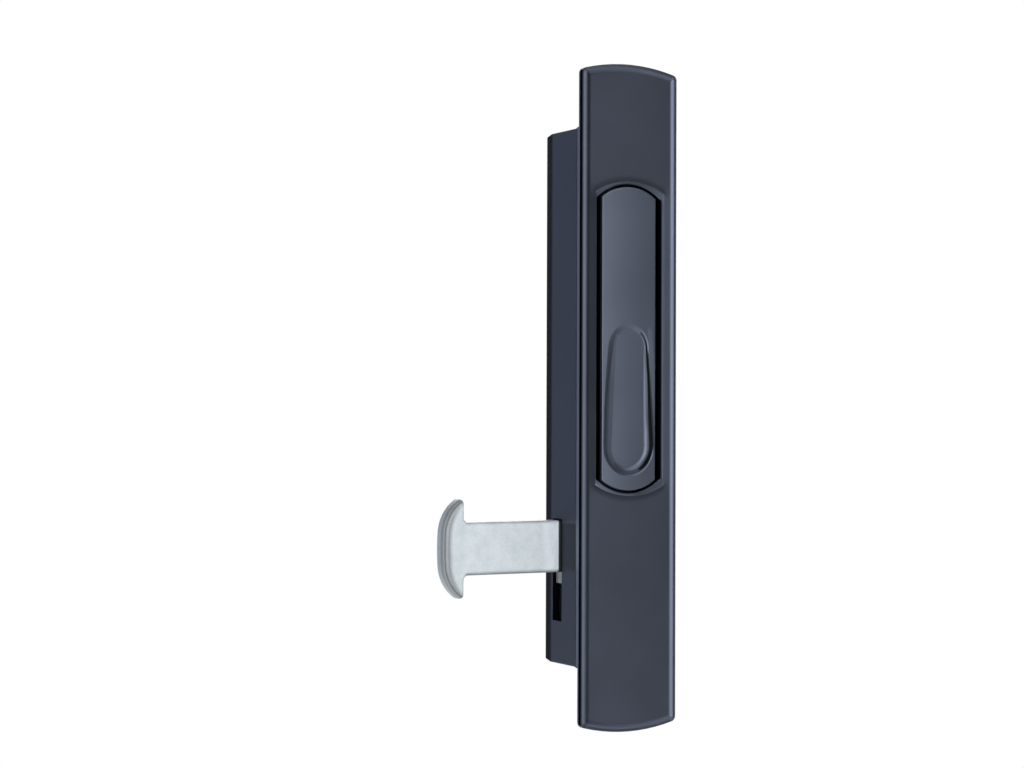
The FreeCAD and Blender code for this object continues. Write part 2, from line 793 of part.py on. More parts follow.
def carriage_ramp():
    """Wedge on top of the carriage whose face follows the shoe's path."""
    low = ramp_point(-ramp_overrun_angle)
    middle = ramp_point(tilt_angle / 2)
    high = ramp_point(tilt_angle + ramp_overrun_angle / 3)
    x = -ramp_half_width
    seat = carriage_front_top - join_depth
    foot = vec(x, ramp_foot_y, low.z - (low.y - ramp_foot_y) * (middle.z - low.z) / (middle.y - low.y))
    wire = Part.Wire([
        line(vec(x, ramp_foot_y, seat), foot),
        line(foot, low),
        arc(low, middle, high),
        line(high, vec(x, carriage_back, high.z)),
        line(vec(x, carriage_back, high.z), vec(x, carriage_back, seat)),
        line(vec(x, carriage_back, seat), vec(x, ramp_foot_y, seat)),
    ])
    return Part.Face(wire).extrude(vec(2 * ramp_half_width, 0, 0))


def clamp_screw_places():
    return (clamp_screw_left, clamp_screw_right)


def bolt_carriage():
    """Sliding block with the ramp, the bolt's pocket, two rod bores and a spring pocket."""
    back_block = block(-carriage_half_width, carriage_half_width, carriage_step, carriage_back,
                       carriage_bottom, carriage_top)
    front_block = block(-carriage_half_width, carriage_half_width, carriage_front,
                        carriage_step + join_depth, carriage_bottom, carriage_front_top)
    body = fused([back_block, front_block])
    upright = []
    for edge in body.Edges:
        box = edge.BoundBox
        tall = box.ZLength > bar_height
        at_side = min(abs(box.XMin), abs(box.XMax)) > carriage_half_width * 0.999
        if tall and at_side and box.YLength < pocket_gap:
            upright.append(edge)
    body = body.makeChamfer(carriage_chamfer, upright)
    body = fused([body, carriage_ramp()])
    pocket = block(-carriage_half_width - cut_past, tail_end_x + pocket_gap, bolt_front,
                   carriage_back + cut_past,
                   bolt_z - tail_half - pocket_gap, bolt_z + tail_half + pocket_gap)
    body = body.cut(pocket)
    for side in (-1, 1):
        body = body.cut(rod_along_z(rod_radius + rod_running_gap, carriage_bottom - cut_past,
                                    carriage_top + cut_past, side * rod_x, rod_y))
    body = body.cut(rod_along_z(spring_pocket_radius, carriage_bottom - cut_past, spring_pocket_top,
                                0.0, spring_y))
    for x in clamp_screw_places():
        body = body.cut(rod_along_y(clamp_screw_radius, clamp_bore_front, bolt_front + cut_past, x,
                                    bolt_z))
    return body.removeSplitter()


def bolt_point(x, z):
    """Point of the bolt's front plane, at a height from the bolt's middle."""
    return vec(x, bolt_front, bolt_z + z)


def mirrored(point):
    """The same point on the other side of the bolt's middle."""
    return vec(point.x, point.y, 2 * bolt_z - point.z)


def head_shoulder_centre():
    """Centre of the arc that rounds the hammer head's shoulder, at a height from its middle."""
    reach = head_face_radius - head_shoulder_radius
    z = reach * head_flat_half / head_face_radius
    return head_tip_x + head_face_radius - math.sqrt(reach ** 2 - z ** 2), z


def head_shoulder_point(z):
    """Point of the shoulder's arc at a height from the bolt's middle."""
    centre_x, centre_z = head_shoulder_centre()
    return bolt_point(centre_x - math.sqrt(head_shoulder_radius ** 2 - (z - centre_z) ** 2), z)


def bolt_outline():
    """The bolt's side view in the plane of its front face: hammer head, bar and wider tail."""
    half = head_height / 2
    tip_z = half - head_tip_fall
    bend = math.sqrt(0.5)
    root = head_root_radius
    at = bolt_point
    flat_end = head_shoulder_point(head_flat_half)
    shoulder_mid = head_shoulder_point((head_flat_half + tip_z) / 2)
    tip = head_shoulder_point(tip_z)
    tip_mid = at((tip.x + head_arm_x) / 2, half)
    arm_start = at(head_arm_x, tip_z)
    arm_end = at(head_arm_x, bar_half + root)
    root_mid = at(head_arm_x + root * (1 - bend), bar_half + root * (1 - bend))
    bar_start = at(head_arm_x + root, bar_half)
    bar_end = at(tail_start_x, bar_half)
    tail_start = at(tail_start_x, tail_half)
    tail_end = at(tail_end_x, tail_half)
    upper = [
        arc(flat_end, shoulder_mid, tip),
        arc(tip, tip_mid, arm_start),
        line(arm_start, arm_end),
        arc(arm_end, root_mid, bar_start),
        line(bar_start, bar_end),
        line(bar_end, tail_start),
        line(tail_start, tail_end),
    ]
    lower = [
        line(mirrored(tail_end), mirrored(tail_start)),
        line(mirrored(tail_start), mirrored(bar_end)),
        line(mirrored(bar_end), mirrored(bar_start)),
        arc(mirrored(bar_start), mirrored(root_mid), mirrored(arm_end)),
        line(mirrored(arm_end), mirrored(arm_start)),
        arc(mirrored(arm_start), mirrored(tip_mid), mirrored(tip)),
        arc(mirrored(tip), mirrored(shoulder_mid), mirrored(flat_end)),
    ]
    return Part.Wire([arc(mirrored(flat_end), at(head_tip_x, 0), flat_end)] + upper
                     + [line(tail_end, mirrored(tail_end))] + lower)


def head_dome():
    """D-shaped block with a rounded front edge; what the hammer head keeps of its outline."""
    centre_x, centre_z = head_shoulder_centre()
    side = centre_z + head_shoulder_radius
    flat_end = head_shoulder_point(head_flat_half)
    shoulder_mid = head_shoulder_point((head_flat_half + side) / 2)
    shoulder_end = bolt_point(centre_x, side)
    far = bolt_point(tail_end_x + cut_past, side)
    outline = Part.Wire([
        arc(mirrored(flat_end), bolt_point(head_tip_x, 0), flat_end),
        arc(flat_end, shoulder_mid, shoulder_end),
        line(shoulder_end, far),
        line(far, mirrored(far)),
        line(mirrored(far), mirrored(shoulder_end)),
        arc(mirrored(shoulder_end), mirrored(shoulder_mid), mirrored(flat_end)),
    ])
    dome = Part.Face(outline).extrude(vec(0, bolt_thickness, 0))
    front = []
    for edge in dome.Edges:
        box = edge.BoundBox
        if box.YMax < bolt_front + bar_round and box.XLength > pocket_gap:
            front.append(edge)
    return dome.makeFillet(head_round, front)


def t_bolt():
    """Stamped hammer-head bolt with rounded front edges and two slots in its tail."""
    bolt = Part.Face(bolt_outline()).extrude(vec(0, bolt_thickness, 0)).common(head_dome())
    edges = []
    for edge in bolt.Edges:
        box = edge.BoundBox
        in_front = box.YMax < bolt_front + bar_round / 2
        on_bar = box.XMin > head_arm_x - bar_round and box.XMax < tail_start_x + bar_round
        if in_front and on_bar and box.ZLength < bar_height:
            edges.append(edge)
    bolt = bolt.makeFillet(bar_round, edges)
    for x in clamp_screw_places():
        slot_half = clamp_screw_radius + clamp_hole_gap
        front = bolt_front - cut_past
        back = bolt_back + cut_past
        bolt = bolt.cut(fused([
            block(x - clamp_adjust, x + clamp_adjust, front, back, bolt_z - slot_half,
                  bolt_z + slot_half),
            rod_along_y(slot_half, front, back, x - clamp_adjust, bolt_z),
            rod_along_y(slot_half, front, back, x + clamp_adjust, bolt_z),
        ]))
    return bolt


def bolt_clamp_plate():
    """Plate that presses the bolt's tail into the carriage."""
    plate = block(-carriage_half_width + clamp_side_gap, tail_end_x - pocket_gap, bolt_back,
                  bolt_back + clamp_thickness, bolt_z - tail_half, bolt_z + tail_half)
    for x in clamp_screw_places():
        plate = plate.cut(rod_along_y(clamp_screw_radius + clamp_hole_gap, bolt_back - cut_past,
                                      bolt_back + clamp_thickness + cut_past, x, bolt_z))
        plate = plate.cut(countersink(clamp_head_radius + clamp_hole_gap, clamp_head_height,
                                      clamp_screw_radius + clamp_hole_gap,
                                      bolt_back + clamp_thickness, x, bolt_z))
    return plate


def bolt_clamp_screws():
    top = bolt_back + clamp_thickness
    return Part.makeCompound([
        flat_head_screw(clamp_screw_radius - screw_gap, clamp_head_radius, clamp_head_height,
                        top - clamp_bore_front - clamp_tip_gap, x, top, bolt_z)
        for x in clamp_screw_places()])


def guide_rods():
    return Part.makeCompound([
        rod_along_z(rod_radius, foot_top - rod_seat_depth, shelf_top, side * rod_x, rod_y)
        for side in (-1, 1)])


def carriage_buffers():
    """Rubber rings on the guide rods that soften the carriage's return."""
    rings = []
    for side in (-1, 1):
        low = shelf_bottom - buffer_thickness
        ring = rod_along_z(buffer_radius, low, shelf_bottom, side * rod_x, rod_y)
        hole = rod_along_z(rod_radius + rod_running_gap, low - cut_past, shelf_bottom + cut_past,
                           side * rod_x, rod_y)
        rings.append(ring.cut(hole))
    return Part.makeCompound(rings)


def spring_guide_pin():
    return rod_along_z(guide_pin_radius, spring_boss_top - guide_pin_seat, guide_pin_top, 0.0,
                       spring_y)


def spring_seat():
    """Washer between the spring and the roof of its pocket in the carriage."""
    return rod_along_z(spring_pocket_radius - pocket_gap, spring_pocket_top - spring_seat_thickness,
                       spring_pocket_top, 0.0, spring_y)


def return_spring():
    """Compression spring that lifts the carriage back up."""
    wire_radius = spring_wire / 2
    bottom = spring_boss_top + wire_radius
    top = spring_pocket_top - spring_seat_thickness - wire_radius
    pitch = (top - bottom) / spring_turns
    helix = Part.makeHelix(pitch, top - bottom, spring_radius)
    section = Part.Wire([Part.makeCircle(wire_radius, vec(spring_radius, 0, 0), vec(0, 1, 0))])
    coil = Part.Wire(helix.Edges).makePipeShell([section], True, True)
    coil.translate(vec(0, spring_y, bottom))
    return coil


def lever_pads():
    """Two rubber pads on the ledge, behind the lever's upper end."""
    pads = []
    centre_z = ledge_top - ledge_height / 2
    for side in (-1, 1):
        pads.append(rod_along_y(pad_radius, lever_back + running_gap, ledge_front, side * pad_x,
                                centre_z))
    return Part.makeCompound(pads)


def rear_cover():
    """Steel sheet that closes the case from behind."""
    half = inner_half - cover_side_gap
    half_height = inner_half_height - cover_side_gap
    back = cover_front + cover_thickness
    cover = block(-half, half, cover_front, back, -half_height, half_height)
    corners = []
    for edge in cover.Edges:
        if edge.BoundBox.YLength > cover_thickness / 2:
            corners.append(edge)
    cover = cover.makeFillet(cover_corner_radius, corners)
    for x, z, radius in cover_screw_places():
        hole = small_screw_radius + clamp_hole_gap
        cover = cover.cut(rod_along_y(hole, cover_front - cut_past, back + cut_past, x, z))
        cover = cover.cut(countersink(small_head_radius + screw_gap, small_head_height, hole, back,
                                      x, z))
    return cover


def cover_screws():
    back = cover_front + cover_thickness
    return Part.makeCompound([
        flat_head_screw(small_screw_radius - screw_gap, small_head_radius, small_head_height,
                        small_screw_length, x, back, z)
        for x, z, radius in cover_screw_places()])


def fixing_post(end):
    """Hexagonal threaded post with a turned chamfer, pressed into its boss on the plate's back."""
    corner_radius = post_flats / math.cos(math.pi / 6) / 2
    top = post_boss_height + post_length
    points = []
    for corner in range(7):
        turn = math.pi / 3 * corner
        points.append(vec(corner_radius * math.cos(turn), post_boss_height,
                          end * post_z + corner_radius * math.sin(turn)))
    hexagon = Part.Face(Part.makePolygon(points)).extrude(vec(0, post_length, 0))
    turned = rod_along_y(corner_radius + pocket_gap, post_boss_height, top, 0.0, end * post_z)
    rims = [edge for edge in turned.Edges if edge.BoundBox.YMin > top - pocket_gap]
    hexagon = hexagon.common(turned.makeChamfer(post_chamfer, rims))
    spigot = rod_along_y(post_spigot_radius, post_seat_floor, post_boss_height + join_depth, 0.0,
                         end * post_z)
    bore = rod_along_y(post_thread_radius, top - post_thread_depth, top + cut_past, 0.0,
                       end * post_z)
    return fused([hexagon, spigot]).cut(bore)


def main():
    os.makedirs("parts", exist_ok=True)
    pieces = {
        "body_casting": body_casting(),
        "tilt_lever": tilt_lever(),
        "lever_bushes": lever_bushes(),
        "pivot_pin": pivot_pin(),
        "pivot_bridge": pivot_bridge(),
        "pivot_bridge_screws": pivot_bridge_screws(),
        "cam_shoe": cam_shoe(),
        "cam_shoe_pin": cam_shoe_pin(),
        "bolt_carriage": bolt_carriage(),
        "t_bolt": t_bolt(),
        "bolt_clamp_plate": bolt_clamp_plate(),
        "bolt_clamp_screws": bolt_clamp_screws(),
        "guide_rods": guide_rods(),
        "carriage_buffers": carriage_buffers(),
        "return_spring": return_spring(),
        "spring_seat": spring_seat(),
        "spring_guide_pin": spring_guide_pin(),
        "lever_pads": lever_pads(),
        "rear_cover": rear_cover(),
        "cover_screws": cover_screws(),
        "upper_fixing_post": fixing_post(1),
        "lower_fixing_post": fixing_post(-1),
    }
    for name, shape in pieces.items():
        shape.exportStep(os.path.join("parts", name + ".step"))
        print(name, "valid", shape.isValid(), "solids", len(shape.Solids), "volume", round(shape.Volume, 1))


main()
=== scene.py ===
"""Dresses the flush sliding-door handle: materials, threads, spring, floor, light and camera."""
import math

import bmesh
import bpy
from bpy.props import (FloatProperty, FloatVectorProperty, IntProperty,
                       PointerProperty)
from bpy.types import Operator, Panel, PropertyGroup
from mathutils import Matrix, Vector


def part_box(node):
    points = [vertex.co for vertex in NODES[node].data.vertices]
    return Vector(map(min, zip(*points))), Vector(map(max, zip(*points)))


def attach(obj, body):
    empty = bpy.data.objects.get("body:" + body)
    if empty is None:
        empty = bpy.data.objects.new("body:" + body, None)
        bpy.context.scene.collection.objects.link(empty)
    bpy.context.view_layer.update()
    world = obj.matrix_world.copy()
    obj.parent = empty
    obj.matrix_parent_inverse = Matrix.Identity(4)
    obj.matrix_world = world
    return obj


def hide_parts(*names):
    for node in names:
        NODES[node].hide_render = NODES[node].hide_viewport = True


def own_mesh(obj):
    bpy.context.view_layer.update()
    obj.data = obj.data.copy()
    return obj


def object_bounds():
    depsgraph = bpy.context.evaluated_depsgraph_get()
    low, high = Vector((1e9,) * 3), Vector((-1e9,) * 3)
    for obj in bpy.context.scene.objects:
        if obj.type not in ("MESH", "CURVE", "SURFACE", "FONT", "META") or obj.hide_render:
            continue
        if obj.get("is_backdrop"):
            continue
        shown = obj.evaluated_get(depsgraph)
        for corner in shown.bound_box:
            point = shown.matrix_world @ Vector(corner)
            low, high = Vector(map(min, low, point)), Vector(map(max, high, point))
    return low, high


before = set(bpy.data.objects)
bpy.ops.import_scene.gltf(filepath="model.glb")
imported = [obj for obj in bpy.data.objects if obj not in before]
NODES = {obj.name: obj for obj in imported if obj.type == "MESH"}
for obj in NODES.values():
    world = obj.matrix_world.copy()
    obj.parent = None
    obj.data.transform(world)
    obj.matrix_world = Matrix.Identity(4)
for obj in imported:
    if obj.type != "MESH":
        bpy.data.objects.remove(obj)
CAD_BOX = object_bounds()

bl_info = {
    "name": "Sliding door handle dresser",
    "version": (1, 0, 0),
    "blender": (4, 5, 0),
    "location": "View3D > Sidebar > Door handle",
    "description": "Gives the door handle its materials, threads, spring, floor, light and camera",
    "category": "Object",
}

MM = 0.001
TURN = 2 * math.pi
SENSOR_WIDTH = 36.0

# Sizes and places in the shared frame that the shading follows. The front faces have the
# smallest y; a half is measured from the handle's middle plane.
PLATE_HALF = 13.3 * MM
PLATE_END = 80.0 * MM
PLATE_ARC = 48.7 * MM
CREST_HALF = 12.3 * MM
LIP_HALF = 9.7 * MM
FACE = -1.93 * MM
THROAT_FRONT = -1.23 * MM
CASE_HALF = 12.6 * MM
CASE_END = 64.35 * MM
TAPER_FRONT = 14.42 * MM
COVER = 16.2 * MM
OPENING_MIDDLE = 14.1 * MM
OPENING_HALF = 36.5 * MM
MOUTH_ARC = 19.5 * MM
MOUTH_ARC_CENTRE = 18.35 * MM
LEVER_HALF = 7.7 * MM
LEVER_EDGE = -0.95 * MM
LEVER_FRONT = -1.45 * MM
SCOOP_DEPTH = 0.94 * MM
SCOOP_LEAST_DEPTH = 0.2 * MM
SCOOP_TOP = 18.0 * MM
SCOOP_FOOT = -19.5 * MM
SCOOP_RIGHT = 6.33 * MM
BAR_FOOT = -42.2 * MM
BAR_TOP = -29.7 * MM
BOLT_FRONT = 9.32 * MM
BOLT_MIDDLE = -35.95 * MM
HEAD_INNER = -38.75 * MM
HEAD_END = -44.2 * MM
HEAD_FLAT = 4.0 * MM

# The scoop grows deeper downwards, and its right side flares and bows
SCOOP_FALL = 0.05
SCOOP_FLARE = 0.0667
SCOOP_BOW = 1.4

# The head's end arc, and the arc and slope of its shoulders
HEAD_ARC = 8.3
SHOULDER_ARC = 62.0
SHOULDER_SLOPE = 0.047

# The face's fall towards the opening: its slope, how much less that is on the right and from
# where, its inner and outer edges and its part along the opening
FALL_SLOPE = 0.145
FALL_LESS_RIGHT = 0.085
FALL_RIGHT = (-1.0 * MM, 1.0 * MM)
FALL_INNER = LIP_HALF - 0.3 * MM
FALL_OUTER = LIP_HALF + 1.5 * MM
FALL_ALONG = (OPENING_HALF + 1.0 * MM, OPENING_HALF - 4.0 * MM)

# How far the shading flattens the lever's crown at its edges, and how round the scoop's floor is
CROWN_EASE = 0.2025 * MM
FLOOR_CROWN = 4.0

# Places of the casting's shading, mostly painted highlights and shade. A pair is a ramp from nought
# to full, a foursome is a band that starts, is full, fades and ends.
CAST_FRONT = (FACE + 0.3 * MM, FACE + 0.15 * MM)
WALL_ACROSS = (CASE_HALF - 0.1 * MM, CASE_HALF - 0.2 * MM)
WALL_DEPTH = (13.9 * MM, 13.7 * MM)
DEEP_ACROSS = (CASE_HALF - 0.7 * MM, CASE_HALF - 0.8 * MM)
DEEP_DEPTH = (COVER, COVER - 0.2 * MM)
INSIDE_ALONG = (CASE_END - 0.4 * MM, CASE_END - 0.5 * MM)
THROAT_DEPTH = (THROAT_FRONT - 0.04 * MM, THROAT_FRONT + 0.08 * MM)
SOONER_ACROSS = (8.4 * MM, 8.6 * MM)
SOONER_ALONG = (OPENING_HALF - 2.0 * MM, OPENING_HALF - 3.5 * MM)
SOONER_BY = 0.2 * MM
EDGE_ACROSS = (PLATE_HALF - 0.3 * MM, PLATE_HALF - 0.1 * MM)
EDGE_DEPTH = (-1.75 * MM, -1.5 * MM, -0.62 * MM, -0.45 * MM)
BESIDE_BAR_ACROSS = (CASE_HALF - 0.05 * MM, CASE_HALF)
BESIDE_BAR_DEPTH = (0.5 * MM, 1.2 * MM, 9.0 * MM, 9.3 * MM)
BESIDE_BAR_ALONG = (BAR_FOOT - 0.3 * MM, BAR_FOOT + 1.8 * MM, BAR_TOP - 1.0 * MM, BAR_TOP)
PLATE_BACK_ACROSS = (CASE_HALF + 0.05 * MM, CASE_HALF + 0.3 * MM)
PLATE_BACK_DEPTH = (-0.5 * MM, -0.4 * MM, 0.6 * MM, 1.2 * MM)
TAPER_DEPTH = (TAPER_FRONT - 1.2 * MM, TAPER_FRONT + 0.2 * MM)
TAPER_ACROSS = (11.9 * MM, 12.0 * MM)
LEFT_RIM = (CREST_HALF - 0.1 * MM, CREST_HALF + 0.05 * MM, CREST_HALF + 0.25 * MM,
            CREST_HALF + 0.6 * MM)
RIGHT_RIM = (CREST_HALF - 1.0 * MM, CREST_HALF - 0.6 * MM, CREST_HALF + 0.1 * MM,
             CREST_HALF + 0.4 * MM)
WITHIN_RIMS = (CREST_HALF, CREST_HALF - 1.0 * MM)
CREST_FROM_END = (0.55 * MM, 0.95 * MM, 1.3 * MM, 2.1 * MM)
BRINK_FROM_END = (0.95 * MM, 0.7 * MM)
HOLLOW_FROM_MOUTH = (-0.3 * MM, 0.0, 0.3 * MM, 1.6 * MM)
HOLLOW_ALONG = (32.0 * MM, 34.0 * MM)
HOLLOW_ACROSS = (LIP_HALF + 1.2 * MM, LIP_HALF - 0.4 * MM)
LIP_DEPTH = (FACE + 0.05 * MM, FACE + 0.2 * MM, THROAT_FRONT, THROAT_FRONT + 0.1 * MM)
LIP_ALONG = (33.0 * MM, 34.5 * MM, 39.0 * MM, 40.0 * MM)
LIP_ACROSS = (LIP_HALF, LIP_HALF - 0.3 * MM)
LIP_LEFT = (4.0 * MM, -3.0 * MM)
FOOT_ALONG = (OPENING_MIDDLE, OPENING_MIDDLE - 1.0 * MM)
FOOT_LEFT = (2.5 * MM, -1.0 * MM)
FOOT_FAR_LEFT = (-2.0 * MM, -8.0 * MM)
FOOT_RIGHT = (0.5 * MM, 3.0 * MM)

# Places of the lever's shading, mostly painted highlights and shade; sunk values are shares of the
# scoop's depth
LEVER_FACING = (LEVER_FRONT + 0.25 * MM, LEVER_FRONT + 0.1 * MM)
SIDE_ACROSS = (LEVER_HALF - 0.2 * MM, LEVER_HALF - 0.1 * MM)
SIDE_DEPTH = (LEVER_EDGE + 0.05 * MM, LEVER_EDGE + 0.25 * MM)
EDGE_LINE = (LEVER_HALF - 0.45 * MM, LEVER_HALF - 0.35 * MM)
SCOOP_ALONG = (SCOOP_FOOT, SCOOP_FOOT + 2.5 * MM, SCOOP_TOP - 2.5 * MM, SCOOP_TOP)
LOWER_SCOOP = (4.0 * MM, -9.0 * MM)
LEFT_WALL_ACROSS = (2.8 * MM, 3.4 * MM)
LEFT_WALL_SUNK = (0.38, 0.7, 0.92, 1.0)
RIGHT_WALL_ACROSS = (3.0 * MM, 3.5 * MM)
RIGHT_WALL_SUNK = (0.64, 0.50)
RIGHT_WALL_ALONG = (-14.0 * MM, -11.5 * MM, 10.0 * MM, 12.0 * MM)
RIGHT_ARC_SUNK = (0.02, 0.12)
COVE_SUNK = (0.45, 0.6, 0.86, 0.97)
COVE_ALONG = (-10.0 * MM, -4.0 * MM)
BRINK_OUT = 0.06 * MM
BRINK_OUT_LOW = 0.16 * MM
BRINK_INSIDE = (0.1 * MM, -0.05 * MM)
STRIP_PAST_BRINK = (0.05 * MM, 0.3 * MM, 1.2 * MM, 1.8 * MM)

# Places of the bolt's painted highlights and shade
NEAR_CASE = (-18.5 * MM, -CASE_HALF - 0.9 * MM)
IN_SLOT = (-CASE_HALF - 0.65 * MM, -CASE_HALF - 0.4 * MM)
ABOVE_FOOT = (BAR_FOOT - 0.1 * MM, BAR_FOOT + 0.1 * MM)
HEAD_ACROSS = (HEAD_INNER + 0.7 * MM, HEAD_INNER - 0.7 * MM)
BAR_ACROSS = (HEAD_INNER - 0.2 * MM, HEAD_INNER + 1.0 * MM)
RIM_DEPTH = (BOLT_FRONT + 0.08 * MM, BOLT_FRONT + 0.3 * MM, BOLT_FRONT + 1.3 * MM,
             BOLT_FRONT + 2.0 * MM)
HEAD_FACING = (BOLT_FRONT + 0.5 * MM, BOLT_FRONT + 0.3 * MM)
BROW_FROM_END = (2.6 * MM, 1.5 * MM)
RIDGE_FROM_END = (1.7 * MM, 1.3 * MM)
BAR_LOWER_EDGE = (BAR_FOOT + 1.1 * MM, BAR_FOOT + 0.1 * MM)
BAR_UPPER_EDGE = (BAR_TOP - 0.9 * MM, BAR_TOP - 0.2 * MM)

# The black of the painted shade, then colours of the pieces that aren't painted
PAINTED_SHADE_BLACK = (0.002, 0.002, 0.003)
GROUND_STEEL = (0.60, 0.61, 0.63)
PLATED_SHEET = (0.56, 0.60, 0.63)
BRONZE = (0.52, 0.34, 0.15)
TUMBLED_ZINC = (0.10, 0.10, 0.11)
SPRING_STEEL = (0.40, 0.41, 0.43)
SCREW_ZINC = (0.58, 0.61, 0.64)
POST_ZINC = (0.60, 0.62, 0.65)
THREAD_ZINC = (0.50, 0.52, 0.55)
RUBBER_DARK = (0.010, 0.010, 0.011)
RUBBER_LIGHT = (0.022, 0.022, 0.024)
ACETAL_DARK = (0.62, 0.61, 0.56)
ACETAL_LIGHT = (0.74, 0.73, 0.68)
FLOOR_DARK = (0.86, 0.86, 0.86)
FLOOR_LIGHT = (0.90, 0.90, 0.90)
WHITE = (1.0, 1.0, 1.0)
ROOM = (0.92, 0.96, 1.0)

# Densities of the noises, in features a metre
PAINT_CLOUD = 55.0
ORANGE_PEEL = 1500.0
PAINT_GRAIN = 5200.0
ZINC_BLOTCH = 140.0
ZINC_MOTTLE = 420.0
ZINC_DRAWN = 900.0
ZINC_PITS = 1900.0
ZINC_SPECKLE = 2900.0
METAL_STAIN = 260.0
METAL_MARKS = 2600.0
CAST_FLOW = 180.0
CAST_SKIN = 1300.0
RUBBER_SKIN = 1600.0
ACETAL_FLOW = 300.0
ACETAL_GRAIN = 2400.0
FLOOR_FIBRE = 300.0

# Directions of machining marks: noise is stretched along the axis with the small factor
UPRIGHT = (1.0, 1.0, 0.05)
SIDEWAYS = (0.05, 1.0, 1.0)
FORE_AND_AFT = (1.0, 0.08, 1.0)
ROLLED = (0.15, 1.0, 1.0)

# The thread's ridge in shares of its pitch: half its foot and half its flat crest
THREAD_FOOT = 0.4
THREAD_CREST = 0.08

# Where the floor turns white, in shares of its radius
FLOOR_FADE = (0.45, 0.97)

# Soft boxes: name, azimuth (degrees to the left of the plate's normal), elevation, distance,
# width and height in metres, radiance and colour
SOFT_BOXES = (
    ("key_box", 11.0, 0.0, 0.95, 1.05, 1.10, 4.5, (0.98, 0.99, 1.0)),
    ("rear_card", 149.0, 0.0, 0.95, 0.24, 1.10, 1.60, (0.71, 0.77, 1.0)),
    ("warm_card", -97.0, 0.0, 0.95, 0.34, 1.10, 0.80, (1.0, 0.86, 0.80)),
    ("back_box", -139.0, 8.0, 0.95, 1.45, 1.20, 3.2, (0.98, 0.99, 1.0)),
    ("left_box", 80.0, 5.0, 0.95, 0.60, 1.10, 1.2, (0.95, 0.97, 1.0)),
    ("top_box", -20.0, 50.0, 1.00, 0.90, 0.50, 2.2, WHITE),
    ("sky_box", -31.0, 78.0, 1.00, 0.90, 0.60, 1.7, WHITE),
)


# Shader arithmetic

def feed(tree, socket, value):
    """Sets a socket to a constant, or links it to a field."""
    if isinstance(value, Field):
        tree.links.new(value.socket, socket)
    elif isinstance(value, (tuple, list)) and len(value) == 3 and socket.type == "RGBA":
        socket.default_value = (*value, 1.0)
    else:
        socket.default_value = value


class Field:
    """A value in a shader that takes Python's arithmetic."""

    def __init__(self, shader, socket):
        self.shader = shader
        self.socket = socket

    def _math(self, operation, *values):
        return self.shader.node("ShaderNodeMath", {"operation": operation},
                                dict(enumerate(values)))

    def __add__(self, other):
        return self._math("ADD", self, other)

    def __radd__(self, other):
        return self._math("ADD", other, self)

    def __sub__(self, other):
        return self._math("SUBTRACT", self, other)

    def __rsub__(self, other):
        return self._math("SUBTRACT", other, self)

    def __mul__(self, other):
        return self._math("MULTIPLY", self, other)

    def __rmul__(self, other):
        return self._math("MULTIPLY", other, self)

    def __truediv__(self, other):
        return self._math("DIVIDE", self, other)

    def __rtruediv__(self, other):
        return self._math("DIVIDE", other, self)

    def __pow__(self, exponent):
        return self._math("POWER", self, exponent)

    def __neg__(self):
        return self._math("MULTIPLY", self, -1.0)

    def __abs__(self):
        return self._math("ABSOLUTE", self)

    def least(self, other):
        return self._math("MINIMUM", self, other)

    def most(self, other):
        return self._math("MAXIMUM", self, other)

    def ramp(self, low, high):
        """0 below low, 1 above high, smooth between; high below low turns it round."""
        low_end, high_end = (0.0, 1.0) if low < high else (1.0, 0.0)
        return self.shader.node("ShaderNodeMapRange", {"interpolation_type": "SMOOTHSTEP"},
                                {"Value": self, "From Min": min(low, high),
                                 "From Max": max(low, high), "To Min": low_end,
                                 "To Max": high_end}, "Result")

    def band(self, start, full, fade, end):
        """1 between full and fade, 0 outside start and end."""
        return self.ramp(start, full) * self.ramp(end, fade)

    def times(self, factor):
        """The factor where this mask is 1, and 1 where it is 0."""
        return self * (factor - 1.0) + 1.0

    def around(self, value, spread):
        """A value that this noise moves by half the spread to either side."""
        return value + (self - 0.5) * spread

    def dimmed(self, tone):
        """This colour scaled by a tone."""
        return self.shader.node("ShaderNodeVectorMath", {"operation": "SCALE"},
                                {0: self, "Scale": tone})

    def blend(self, first, second):
        """Mixes two colours by this field."""
        return self.shader.node("ShaderNodeMix", {"data_type": "RGBA"},
                                {"Factor": self, 6: first, 7: second}, 2)


def painted_light_factor(*places):
    """Painted light and shade: the product of what each mask and its factor make, 1 where no mask
    is.
    """
    (mask, factor), *others = places
    tone = mask.times(factor)
    for mask, factor in others:
        tone = tone * mask.times(factor)
    return tone


